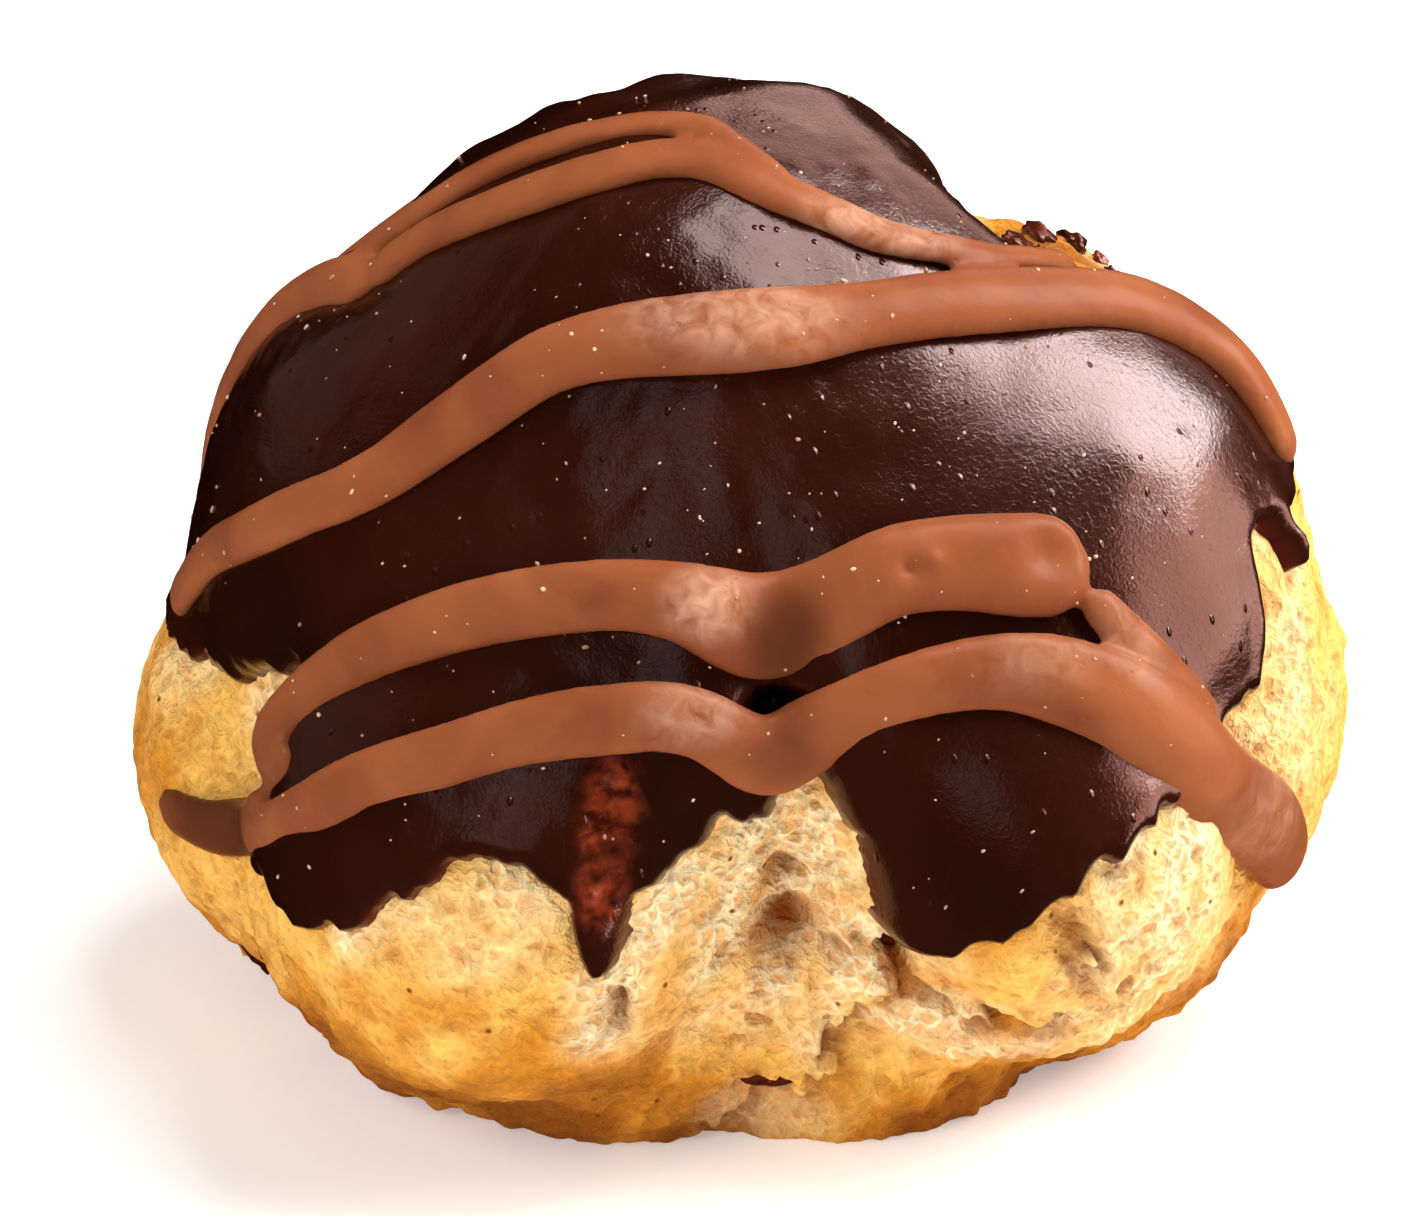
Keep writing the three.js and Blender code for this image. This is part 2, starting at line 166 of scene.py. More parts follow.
# The dip line: the bun went into the chocolate upside down as far as this, bearing and height angle
DIP_LINE = np.array([
    (-180, 9), (-135, 8), (-100, 6), (-90, 1), (-77, 0.8), (-70, 1.4), (-64, 5.3), (-60.5, 5.7), (-57.6, 9),
    (-56, -5), (-54.8, -10.4), (-51, -9.4), (-47.5, -8.6), (-42, -9.7), (-36, -8.4),
    (-31, -4.7), (-27, -1.2), (-22.5, -0.8), (-18.5, -2.3), (-16.6, -5), (-9, -5.2), (-4.1, -1), (-1.4, 1.6),
    (0.8, 0.9), (3.6, -0.4), (4.6, 0.6), (5.2, 5), (7, 6.8), (9.6, 7.6), (10.6, 3.5), (11.6, 0.6),
    (14.4, -0.6), (14.8, -9), (16.2, -12.8), (18.4, -14), (21.8, -11.4), (25, -9.4), (29.3, -6.4),
    (34.3, -2.8), (40, -1.5),
    (46, 1.3), (54, 2.6), (59, 3.5), (62.5, 4.5), (65, 9), (67, 17), (70, 18), (79, 17), (84, 19), (88, 40),
    (91, 60), (98, 66), (112, 67), (128, 60), (142, 42), (160, 16), (180, 9),
], float)
DIP_SOFTEN = 0.8
DIP_SOFTEN_STEPS = 5
# Tongues that ran down from the dip line: bearing, half width, drop, bluntness
TONGUES = {
    "long drip": (-13.6, 2.9, 7.2, 4),
    "right drip": (74.4, 2.2, 5.6, 3),
    "shoulder drip": (106, 6, 7, 2),
    "shoulder drip back": (126, 5, 8, 2),
    "back right": (160, 9, 12, 2),
    "back": (-168, 11, 9, 4),
    "back left": (-136, 10, 12, 4),
    "left back": (-107, 9, 11, 2),
}
# Ragged waves of the edge: length in mm, seed, share
EDGE_WAVES = ((5, 11, 0.6), (2.2, 12, 0.8), (1.1, 13, 0.5))
EDGE_RAGGED = 0.42
EDGE_STEP = 0.1


def unit(vectors):
    """Rows of vectors, each scaled to a length of 1."""
    return vectors / np.linalg.norm(vectors, axis=1, keepdims=True)


def heading(bearing, height):
    """Unit vectors from the bun's middle for bearings and height angles in degrees."""
    turn = np.radians(bearing)
    climb = np.radians(height)
    level = np.cos(climb)
    return np.stack([level * np.sin(turn), -level * np.cos(turn), np.sin(climb)], axis=-1)


def bearing_height(ways):
    """Bearings and height angles of unit vectors, in degrees."""
    bearing = np.degrees(np.arctan2(ways[:, 0], -ways[:, 1]))
    height = np.degrees(np.arcsin(np.clip(ways[:, 2], -1, 1)))
    return bearing, height


def smooth_route(points, samples):
    """Unit vectors and sizes along a smooth curve through places of bearing, height and sizes."""
    points = np.array(points, float)
    knots = np.hstack([heading(points[:, 0], points[:, 1]), points[:, 2:]])
    knots = np.vstack([2 * knots[0] - knots[1], knots, 2 * knots[-1] - knots[-2]])
    place = np.linspace(0, len(points) - 1, samples)
    first = np.minimum(place.astype(int), len(points) - 2)
    part = (place - first)[:, None]
    a, b, c, d = (knots[first + i] for i in range(4))
    bend = (2 * a - 5 * b + 4 * c - d) * part**2 + (3 * b - a - 3 * c + d) * part**3
    made = b + 0.5 * ((c - a) * part + bend)
    return unit(made[:, :3]), made[:, 3:]


def fade(value, low, high):
    """A smooth step from 0 at low to 1 at high."""
    part = np.clip((value - low) / (high - low), 0, 1)
    return part * part * (3 - 2 * part)


def ripple(ways, length, seed, waves=14):
    """Seeded smooth noise of about unit size over the bun, with bumps about one length in mm apart."""
    draw = np.random.default_rng(seed)
    turns = unit(draw.normal(size=(waves, 3)))
    turns *= (2 * math.pi * MEAN_RADIUS / length) * draw.uniform(0.6, 1.5, (waves, 1))
    phases = draw.uniform(0, 2 * math.pi, waves)
    return np.sin(ways @ turns.T + phases).sum(axis=1) / math.sqrt(waves / 2)


def waves_of(ways, waves):
    """The sum of ripples, each of a length in mm, a seed and a height."""
    return sum(height * ripple(ways, length, seed) for length, seed, height in waves)


def dough_reach(ways, blend):
    """How far the lobed dough reaches from the bun's middle, with its lobes melted together."""
    halves = np.where(ways[:, 2] > 0, BODY_RISE, BODY_DROP)
    across = np.stack([ways[:, 0] / BODY_HALF_WIDTH, ways[:, 1] / BODY_HALF_DEPTH, ways[:, 2] / halves])
    reaches = [1 / np.linalg.norm(across, axis=0)]
    for at, radius in LOBES.values():
        along = ways @ np.array(at, float)
        room = radius**2 - (np.dot(at, at) - along**2)
        hit = np.sqrt(np.maximum(room, 0))
        miss = MISS_SLOPE * np.sqrt(np.maximum(-room, 0))
        reaches.append(along + np.where(room > 0, hit, -miss))
    reaches = np.stack(reaches)
    most = reaches.max(axis=0)
    return most + blend * np.log(np.exp((reaches - most) / blend).sum(axis=0))


def crease_depth(ways):
    """Depth of the creases and cracks."""
    deepest = np.zeros(len(ways))
    for points in CREASES.values():
        line, sizes = smooth_route(points, CREASE_SAMPLES)
        apart = MEAN_RADIUS**2 * np.maximum(2 - 2 * ways @ line.T, 0)
        depth = sizes[:, 1] * np.exp(-apart / sizes[:, 0] ** 2)
        deepest = np.maximum(deepest, depth.max(axis=1))
    return deepest


def bun_reach(ways):
    """How far the skin of the bun reaches, without its fine relief."""
    lump = LUMP_HEIGHT * np.prod(np.sin(LUMP_TURNS * ways + LUMP_SHIFTS), axis=1)
    return dough_reach(ways, CRUST_BLEND) - crease_depth(ways) + lump


def coat_edge(bearing):
    """Height angle of the coat's edge, ragged as set chocolate is."""
    spread = bearing[:, None] + DIP_SOFTEN * np.linspace(-1, 1, DIP_SOFTEN_STEPS)
    height = np.interp((spread + 180) % 360 - 180, DIP_LINE[:, 0], DIP_LINE[:, 1]).mean(axis=1)
    for at, half, drop, blunt in TONGUES.values():
        away = np.minimum(np.abs((bearing - at + 180) % 360 - 180) / half, 1)
        height = height - drop * (1 - away**blunt) ** 2
    level = heading(bearing, np.zeros(len(bearing)))
    return height + EDGE_RAGGED * waves_of(level, EDGE_WAVES)


def way_tree(ways):
    """A search tree over unit vectors."""
    tree = KDTree(len(ways))
    for i, way in enumerate(ways):
        tree.insert(way, i)
    tree.balance()
    return tree


edge_bearings = np.arange(-180, 180, EDGE_STEP)
edge_ways = heading(edge_bearings, coat_edge(edge_bearings))
edge_tree = way_tree(edge_ways)


def coat_inset(ways):
    """Distance in mm from the coat's edge, above 0 where the chocolate is."""
    bearing, height = bearing_height(ways)
    apart = np.array([edge_tree.find(way)[2] for way in ways]) * MEAN_RADIUS
    return np.where(height > coat_edge(bearing), apart, -apart)


def patches(ways, places):
    """How much of each place covers the ways: rounded patches of half sizes in mm.

    Also how far away each is, in half sizes, and ten times that on the far side."""
    for bearing, height, half_width, half_height, amount in places.values():
        middle = heading(bearing, height)
        across = heading(bearing + 90, 0)
        upright = np.cross(across, middle)
        away = np.hypot(ways @ across / half_width, ways @ upright / half_height) * MEAN_RADIUS
        yield amount * np.exp(-(away**4)) * (ways @ middle > 0), away * (1 + 9 * (ways @ middle < 0))


def cover_of(ways, places):
    """The most that any of the places covers each way."""
    return np.max([cover for cover, _ in patches(ways, places)], axis=0)


def rope_hole(ways):
    """How far each way is in the hole between the ropes, from 0 outside to 1."""
    _, away = next(patches(ways, {"hole": HOLLOWS["rope hole"]}))
    return np.exp(-(away**3))


def lip_relief(ways):
    """Steps of the torn lips, how near their raised rims are, and the shaded recess under them."""
    step = np.zeros(len(ways))
    rim = np.zeros(len(ways))
    recess = np.zeros(len(ways))
    jag = LIP_RAGGED * waves_of(ways, LIP_WAVES)
    for points in LIPS.values():
        line, sizes = smooth_route(points, LIP_SAMPLES)
        near = np.argmax(ways @ line.T, axis=1)
        run = unit(np.gradient(line, axis=0))
        offset = (ways - line[near]) * MEAN_RADIUS
        right = np.cross(run[near], line[near])
        side = np.einsum("ij,ij->i", offset, right)
        past = np.abs(np.einsum("ij,ij->i", offset, run[near]))
        side = side + jag
        drop = sizes[near, 0] * np.exp(-((past / LIP_END) ** 2))
        low = fade(side, 0, LIP_EDGE) * np.exp(-((np.maximum(side, 0) / LIP_FADE) ** 2))
        step = np.minimum(step, -drop * low)
        amount = np.minimum(drop, 1)
        rim = np.maximum(rim, amount * np.exp(-(((side + LIP_RIM_IN) / LIP_RIM_HALF) ** 2)))
        under = fade(side, 0, RECESS_EDGE) * np.exp(-((side / RECESS_REACH) ** 2))
        recess = np.maximum(recess, amount * under)
    return step, rim, recess


FRONT_LIMIT = 7.0
BUN_LEVELS = 6
EXPOSED_MARGIN = 1.6
FRONT_CUTS = 3
BACK_CUTS = 2

bun_form = bmesh.new()
bmesh.ops.create_icosphere(bun_form, subdivisions=BUN_LEVELS, radius=1.0)


def form_ways(form):
    """Unit vectors of a form's vertices."""
    return unit(np.array([v.co for v in form.verts]))


def cut_finer(form, chosen, cuts):
    """Cuts the edges between chosen vertices, none of them new, and keeps the form in triangles."""
    chosen = np.pad(chosen, (0, len(form.verts) - len(chosen)))
    edges = [e for e in form.edges if chosen[e.verts[0].index] and chosen[e.verts[1].index]]
    bmesh.ops.subdivide_edges(form, edges=edges, cuts=cuts, use_grid_fill=True)
    bmesh.ops.triangulate(form, faces=[f for f in form.faces if len(f.verts) > 3])
    form.verts.index_update()


coarse_ways = form_ways(bun_form)
exposed = coat_inset(coarse_ways) < EXPOSED_MARGIN
in_front = coarse_ways[:, 1] * MEAN_RADIUS < FRONT_LIMIT
cut_finer(bun_form, exposed & in_front, FRONT_CUTS)
cut_finer(bun_form, exposed & ~in_front, BACK_CUTS)
bun_ways = form_ways(bun_form)
bun_inset = coat_inset(bun_ways)

# Crumb also shows in places under the coat's edge: reach in mm, amount, and patchiness all over
UNDER_EDGE_REACH = 2.0
UNDER_EDGE_CRUMB = 0.45
CRUMB_PATCHY = 0.35
crumb = cover_of(bun_ways, CRUMB_ZONES)
under_edge = np.exp(-((np.minimum(bun_inset, 0) / UNDER_EDGE_REACH) ** 2))
under_edge = under_edge * fade(ripple(bun_ways, 7, 31), -0.6, 0.8)
crumb = np.maximum(crumb, UNDER_EDGE_CRUMB * under_edge)
crumb = np.clip(crumb * (1 + CRUMB_PATCHY * ripple(bun_ways, 4, 32)), 0, 1)

lip_step, lip_rim, lip_recess = lip_relief(bun_ways)
relief = lip_step + LIP_RIM_HEIGHT * lip_rim
# The hollow mark is painted shade: brown colour laid in the hollows.
hollow = np.zeros(len(bun_ways))
for cover, away in patches(bun_ways, HOLLOWS):
    shade = np.exp(-(away**2))
    hollow = np.maximum(hollow, shade * np.minimum(cover.max(), 1))
    relief -= cover.max() * np.exp(-(away**3))

# Honeycomb cells of the open crumb: thin walls between rounded cells
CELL_SPACING = 1.5
CELL_DEPTH = 0.32
CELL_SPARE = 1.3
CELL_WARP = 0.012
CELL_WALL = (0.12, 0.95)
CELL_LEAST_CRUMB = 0.08
cell_draw = np.random.default_rng(41)
cell_count = int(4 * math.pi * MEAN_RADIUS**2 / CELL_SPACING**2 * CELL_SPARE)
cell_tree = way_tree(unit(cell_draw.normal(size=(cell_count, 3))))
cell = np.zeros(len(bun_ways))
warp = CELL_WARP * np.stack([ripple(bun_ways, 2.2, seed) for seed in (42, 43, 44)], axis=1)
for i in np.nonzero((crumb > CELL_LEAST_CRUMB) & (bun_inset < EXPOSED_MARGIN))[0]:
    nearest, second = cell_tree.find_n(bun_ways[i] + warp[i], 2)
    cell[i] = (second[2] - nearest[2]) * MEAN_RADIUS
cell = fade(cell, *CELL_WALL)
cell_strength = fade(ripple(bun_ways, 3.4, 45), -0.7, 1.1)
relief -= CELL_DEPTH * cell * crumb * cell_strength

# Pores: oval windows in the skin, half length, half width and depth in mm
PORE_COUNT = 3400
PORE_HALVES = [0.3, 0.4, 0.5, 0.7]
PORE_SHARES = [0.4, 0.35, 0.18, 0.07]
PORE_SPREAD = (0.85, 1.2)
PORE_DEPTH = (0.25, 0.55)
PORE_TILT = 0.7
PORE_FLATTEN = 0.55
PORE_UNDER_COAT = 0.5
PORE_EDGE = 1.15
PORE_SEARCH = 1.3
PORE_FULL = 0.5
pore_draw = np.random.default_rng(51)
pore_tree = way_tree(bun_ways)
pore = np.zeros(len(bun_ways))
for middle in pore_draw.normal(size=(PORE_COUNT, 3)):
    middle = middle / np.linalg.norm(middle)
    half = pore_draw.choice(PORE_HALVES, p=PORE_SHARES) * pore_draw.uniform(*PORE_SPREAD)
    depth = half * pore_draw.uniform(*PORE_DEPTH)
    tilt = pore_draw.uniform(-PORE_TILT, PORE_TILT)
    found = pore_tree.find_range(middle, PORE_SEARCH * half / MEAN_RADIUS)
    if len(found) < 3:
        continue
    near = np.array([item[1] for item in found])
    if bun_inset[near[0]] > PORE_UNDER_COAT:
        continue
    level = np.cross((0, 0, 1), middle)
    level /= np.linalg.norm(level)
    upright = np.cross(middle, level)
    offset = (bun_ways[near] - middle) * MEAN_RADIUS
    u = offset @ (level * math.cos(tilt) + upright * math.sin(tilt)) / half
    v = offset @ (upright * math.cos(tilt) - level * math.sin(tilt)) / (half * PORE_FLATTEN)
    inside = np.clip(PORE_EDGE - np.hypot(u, v), 0, 1)
    relief[near] -= depth * inside
    # The pore mark is painted shade: the colour turns darker tan in the pore dips.
    pore[near] = np.maximum(pore[near], fade(inside, 0, PORE_FULL))

# Fine puckers all over, deeper on the torn crumb and nicked along the foot: length in mm, seed, height
PUCKERS = ((3.2, 61, 0.07), (1.5, 62, 0.05))
NICKS = ((1.2, 63, 0.09),)
CRUMB_WAVES = ((1.1, 64, 0.08), (0.8, 65, 0.08))
RIDGE_HEIGHT = 0.05
# Where the foot begins, and where the relief and the bare skin end under the coat
FOOT_FADE = (0.15, 0.6)
RELIEF_FADE = (-1.0, 0.3)
BARE_FADE = (-1.2, 0.2)
nick = waves_of(bun_ways, NICKS) * fade(-bun_ways[:, 2], *FOOT_FADE)
ridges = 0.5 - np.abs(ripple(bun_ways, 2.4, 66)) + 0.5 * (0.5 - np.abs(ripple(bun_ways, 1.3, 67)))
ragged = waves_of(bun_ways, CRUMB_WAVES) * crumb + RIDGE_HEIGHT * ridges * (1 + crumb)
relief += (waves_of(bun_ways, PUCKERS) + nick + ragged) * fade(-bun_inset, *RELIEF_FADE)
# Under the coat the skin is plain, apart from the hole between the ropes
bare = fade(-bun_inset, *BARE_FADE)
relief = relief * bare - (1 - bare) * HOLLOWS["rope hole"][4] * rope_hole(bun_ways)
bun_points = BUN_MIDDLE + bun_ways * (bun_reach(bun_ways) + relief)[:, None]
bun_points[:, 2] = np.maximum(bun_points[:, 2], 0)
# The crust browns from this height in mm towards the foot, and stays paler on crumb and lips
BAKE_TOP = 16.0
BAKE_LOW = -3.0
BAKE_MOST = 0.9
CRUMB_PALER = 0.45
LIP_PALER = 0.3
BAKE_WAVES = ((8, 71, 0.18), (3, 72, 0.12))
bake_and_shade = BAKE_MOST * fade(-bun_points[:, 2], -BAKE_TOP, -BAKE_LOW) + waves_of(bun_ways, BAKE_WAVES)
bake_and_shade = bake_and_shade - CRUMB_PALER * crumb - LIP_PALER * lip_rim
# Some brownings are painted shade: darker in the cave and under the right lip.
for cover, _ in patches(bun_ways, BROWNINGS_AND_SHADE):
    bake_and_shade = bake_and_shade + cover
bake_and_shade = np.clip(bake_and_shade, 0, 1)


def add_object(name, data):
    """Adds an object to the scene."""
    made = bpy.data.objects.new(name, data)
    bpy.context.scene.collection.objects.link(made)
    return made


def make_piece(name, form, points, marks, material):
    """A smooth-shaded object of a form with its vertices at points in mm, and its marks as attributes."""
    mesh = bpy.data.meshes.new(name)
    form.to_mesh(mesh)
    form.free()
    mesh.vertices.foreach_set("co", np.ascontiguousarray(points * MM, np.float32).ravel())
    for key, values in marks.items():
        layer = mesh.attributes.new(key, "FLOAT", "POINT")
        layer.data.foreach_set("value", np.ascontiguousarray(values, np.float32))
    mesh.polygons.foreach_set("use_smooth", np.ones(len(mesh.polygons), bool))
    mesh.update()
    mesh.materials.append(material)
    return add_object(name, mesh)


def linear(code):
    """An sRGB hex colour as linear numbers, with a full alpha."""
    parts = [int(code[i:i + 2], 16) / 255 for i in (1, 3, 5)]
    return [c / 12.92 if c <= 0.04045 else ((c + 0.055) / 1.055) ** 2.4 for c in parts] + [1.0]


def add_node(tree, kind, inputs, **settings):
    """Adds a shader node with its settings, and gives each input its value or the socket that feeds it."""
    node = tree.nodes.new("ShaderNode" + kind)
    for key, value in settings.items():
        setattr(node, key, value)
    for key, value in inputs.items():
        if isinstance(value, bpy.types.NodeSocket):
            tree.links.new(value, node.inputs[key])
        else:
            node.inputs[key].default_value = value
    return node


def per_mm(length):
    """The texture scale whose pattern repeats about once in a length in mm, on coordinates in metres."""
    return 1000 / length


def new_material(name):
    """A material, its empty node tree and the socket of the object's coordinates."""
    material = bpy.data.materials.new(name)
    material.use_nodes = True
    material.node_tree.nodes.clear()
    place = add_node(material.node_tree, "TexCoord", {}).outputs["Object"]
    return material, material.node_tree, place


def mark(tree, name):
    """The socket of an attribute that make_piece stored."""
    return add_node(tree, "Attribute", {}, attribute_name=name).outputs["Fac"]


def noise(tree, place, length, detail, kind="FBM", **inputs):
    """Noise with bumps about one length in mm apart."""
    inputs = {"Vector": place, "Scale": per_mm(length), "Detail": detail, **inputs}
    return add_node(tree, "TexNoise", inputs, noise_type=kind).outputs


def map_range(tree, value, low, high, first=0.0, last=1.0, kind="LINEAR"):
    """A value that runs from first to last while the one given runs from low to high."""
    inputs = {"Value": value, "From Min": low, "From Max": high, "To Min": first, "To Max": last}
    return add_node(tree, "MapRange", inputs, interpolation_type=kind).outputs[0]


def reckon(tree, operation, *values):
    """The result of an operation on numbers or sockets."""
    return add_node(tree, "Math", dict(enumerate(values)), operation=operation).outputs[0]


def mix(tree, amount, below, above, kind="MIX"):
    """An amount of one colour laid over another."""
    inputs = {0: amount, 6: below, 7: above}
    return add_node(tree, "Mix", inputs, data_type="RGBA", blend_type=kind).outputs[2]


def tone_ramp(tree, value, *stops):
    """Colours that follow a value, through stops of a place and an sRGB colour."""
    ramp = add_node(tree, "ValToRGB", {"Fac": value})
    for at, _ in stops[1:-1]:
        ramp.color_ramp.elements.new(at)
    for element, (at, code) in zip(ramp.color_ramp.elements, stops):
        element.position = at
        element.color = linear(code)
    return ramp.outputs[0]


def spots(tree, place, length, core, rim, channel, least, kind="LINEAR"):
    """Round spots in some cells of a length in mm: full inside the core, none past the rim."""
    cells = add_node(tree, "TexVoronoi", {"Vector": place, "Scale": per_mm(length)})
    inside = map_range(tree, cells.outputs[0], core, rim, 1.0, 0.0, kind)
    draw = add_node(tree, "SeparateColor", {0: cells.outputs[1]}).outputs[channel]
    return reckon(tree, "MULTIPLY", inside, reckon(tree, "GREATER_THAN", draw, least))


def bump(tree, strength, depth, height):
    """The normal of a relief of a depth in mm."""
    inputs = {"Strength": strength, "Distance": depth * MM, "Height": height}
    return add_node(tree, "Bump", inputs).outputs[0]


def surface(tree, inputs):
    """Ends a material in one principled surface."""
    shader = add_node(tree, "BsdfPrincipled", inputs)
    add_node(tree, "OutputMaterial", {"Surface": shader.outputs[0]})


# Baked choux skin: a dry, matt golden crust that browned unevenly, torn into cream crumb that looks fibrous,
# with tiny browned specks. Painted shade darkens it: between raised threads, amber in the cells between
# pale walls, tan in windows over the pores, and brown in the hollows and in the recesses under the lips.
SKIN_TONES = ((0.0, "#f6bd5e"), (0.45, "#d48c2c"), (1.0, "#9e5a1a"))
CRUMB_CREAM = linear("#ffe8b6")
CELL_SHADE_AMBER = linear("#f0a93a")
PORE_SHADE_TAN = linear("#b46a16")
HOLLOW_SHADE_BROWN = linear("#8c4206")
SPECK_BROWN = linear("#7d4519")
WINDOW_AMOUNT = 0.22
PORE_AMOUNT = 0.38
CELL_BEND = 0.9
RIDGED = "RIDGED_MULTIFRACTAL"
choux, tree, place = new_material("baked_choux")
crumb_mark = mark(tree, "crumb")
fibres = noise(tree, place, 0.9, 3.0, RIDGED, Roughness=0.55, Offset=0.9, Gain=1.2, Distortion=1.0)[0]
hairs = map_range(tree, noise(tree, place, 0.8, 3.0, Roughness=0.7, Distortion=0.8)[0], 0.36, 0.64)
windows = noise(tree, place, 1.8, 2.0, RIDGED, Roughness=0.6, Offset=1.0, Gain=2.0, Distortion=0.5)[0]
windows = map_range(tree, windows, 0.62, 0.92, 1.0, 0.0)
bent = add_node(
    tree, "VectorMath", {0: noise(tree, place, 1.1, 2.0)[1], 1: (CELL_BEND * MM,) * 3, 2: place},
    operation="MULTIPLY_ADD",
)
cells = add_node(
    tree, "TexVoronoi", {"Vector": bent.outputs[0], "Scale": per_mm(0.9), "Randomness": 1.0},
    feature="DISTANCE_TO_EDGE",
)
cells_open = map_range(tree, cells.outputs[0], 0.04, 0.3, kind="SMOOTHSTEP")
cells_open = reckon(tree, "MULTIPLY", cells_open, map_range(tree, crumb_mark, 0.0, 1.0, 0.15, 0.55))
# The bake mark holds the crust's browning and painted shade in the cave and under the right lip.
browning_and_shade = reckon(tree, "MULTIPLY_ADD", noise(tree, place, 3.5, 3.0)[0], 0.3, mark(tree, "bake_and_shade"))
tone = tone_ramp(tree, map_range(tree, browning_and_shade, 0.1, 1.15), *SKIN_TONES)
tone = mix(tree, crumb_mark, tone, CRUMB_CREAM)
# Painted shade on the fine relief: the colour is darker between the raised threads and lighter on them.
tone = mix(tree, 1.0, tone, map_range(tree, fibres, 0.0, 1.0, 0.9, 1.1), "MULTIPLY")
tone = mix(tree, 1.0, tone, map_range(tree, hairs, 0.0, 1.0, 0.9, 1.12), "MULTIPLY")
# Painted shade: amber in the dips of the cells, between their pale walls.
tone = mix(tree, cells_open, tone, CELL_SHADE_AMBER, "MULTIPLY")
# Painted shade: darker tan in the windows, where the bump dips, and in the pores.
tone = mix(tree, reckon(tree, "MULTIPLY", windows, WINDOW_AMOUNT), tone, PORE_SHADE_TAN)
tone = mix(tree, reckon(tree, "MULTIPLY", mark(tree, "pore"), PORE_AMOUNT), tone, PORE_SHADE_TAN)
# Painted shade: brown in the hollows and in the recess under the lips.
tone = mix(tree, mark(tree, "hollow"), tone, HOLLOW_SHADE_BROWN)
tone = mix(tree, spots(tree, place, 1.7, 0.05, 0.13, 0, 0.62), tone, SPECK_BROWN)
raised = reckon(tree, "MULTIPLY_ADD", fibres, 0.6, hairs)
raised = reckon(tree, "MULTIPLY_ADD", cells_open, -2.2, raised)
raised = reckon(tree, "MULTIPLY_ADD", windows, -0.7, raised)
surface(tree, {
    "Base Color": tone, "Roughness": 0.62, "IOR": 1.45, "Specular IOR Level": 0.06,
    "Normal": bump(tree, 0.75, 0.18, raised),
})

# Painted shade: the pore mark also darkens the crumb's cells, and the hollow mark the recess under the lips.
CELL_SHADE_AMOUNT = 0.6
RECESS_SHADE = 0.8
bun_marks = {
    "bake_and_shade": bake_and_shade, "crumb": crumb, "pore": np.clip(pore + CELL_SHADE_AMOUNT * cell * crumb * cell_strength, 0, 1),
    "hollow": np.clip(np.maximum(hollow, RECESS_SHADE * lip_recess), 0, 1),
}
bun = make_piece("choux_crust_bun", bun_form, bun_points, bun_marks, choux)
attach(bun, "root")
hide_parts("choux_bun")

# The dark chocolate coat
# Tempered dark chocolate about a millimetre thick, set on the bun after dipping.
# Its edge ran down in tongues and set ragged, thin and reddish; the long drip is scuffed red-brown.
COAT_THICK = 1.0
COAT_BLEND = 1.6
COAT_FILL = 0.4
COAT_GAP = 0.3
COAT_EDGE_ROUND = 1.0
COAT_TUCK = 1.5
COAT_TUCK_SLOPE = 1.5
COAT_UNDERSIDE = 0.8
COAT_FILL_IN = 4.5
COAT_BAND = 2.4
COAT_BAND_CUTS = 3
COAT_FIELD_CUTS = 2
COAT_LEAST = 0.4
COAT_THIN_EDGE = 0.22
COAT_HOLE_DEPTH = 3.6
COAT_LIP_RISE = 0.12
COAT_LIP_IN = 0.9
COAT_LIP_HALF = 0.6
COAT_WAVES = ((4.5, 83, 0.035), (1.7, 84, 0.018))
CROWN_WAVES = ((6, 85, 0.2),)
SCUFF_WAVES = ((1.3, 81, 1), (0.8, 82, 0.7))
SCUFF_RAGGED = 0.25
SCUFF_DEPTH = 0.55
SCUFF_BUBBLES = 0.16
# The plain form keeps its outer shell at 1 and its inner shell this far inside
SHELL_APART = 0.5
SHELL_BETWEEN = 0.75
# Scuffs where the coat is thin over rough crumb: bearing, height, half width, half height, amount
SCUFFS = {
    "drip scuff top": (-13.4, 4, 1.05, 2.6, 1),
    "drip scuff foot": (-13.4, -2.6, 0.95, 1.8, 0.95),
}
# Beads where the drips set thicker: bearing, height, half width, half height, rise
BEADS = {
    "right drip": (74.6, 17.4, 1, 2, 0.2),
    "right drip tip": (74.4, 14, 0.9, 0.9, 0.3),
    "long drip tip": (-14.2, -9.8, 1.2, 1.6, 0.35),
}


def coat_full(ways):
    """How far the coat's outside reaches away from its edge."""
    filled = dough_reach(ways, COAT_BLEND) - (1 - COAT_FILL) * crease_depth(ways)
    return np.maximum(filled, bun_reach(ways) + COAT_GAP) + COAT_THICK


def coat_surface(ways):
    """How far the coat reaches, and its inset, cover from 0 at the edge to 1, and scuffs."""
    inset = coat_inset(ways)
    rise = np.clip(inset / COAT_EDGE_ROUND, 0, 1)
    cover = np.sqrt(1 - (1 - rise) ** 2)
    base = bun_reach(ways)
    scuff = cover_of(ways, SCUFFS)
    rough = waves_of(ways, SCUFF_WAVES)
    scuff = np.clip(scuff * (1 + SCUFF_RAGGED * rough), 0, 1)
    filling = (coat_full(ways) - base - COAT_THICK) * fade(inset, 0, COAT_FILL_IN)
    height = (COAT_THICK + filling) * cover
    height = height + COAT_LIP_RISE * np.exp(-(((inset - COAT_LIP_IN) / COAT_LIP_HALF) ** 2))
    height = height - scuff * (SCUFF_DEPTH - SCUFF_BUBBLES * rough)
    height = height + waves_of(ways, COAT_WAVES) * cover
    for amount, _ in patches(ways, BEADS):
        height = height + amount * cover
    crown_back = fade(ways[:, 2], 0.72, 0.86) * fade(ways[:, 1], -0.05, 0.2)
    height = height + waves_of(ways, CROWN_WAVES) * crown_back * cover
    height = height - COAT_HOLE_DEPTH * rope_hole(ways)
    height = np.where(inset > 0, height, -COAT_TUCK_SLOPE * np.minimum(-inset, COAT_TUCK))
    return base + height, inset, cover, scuff


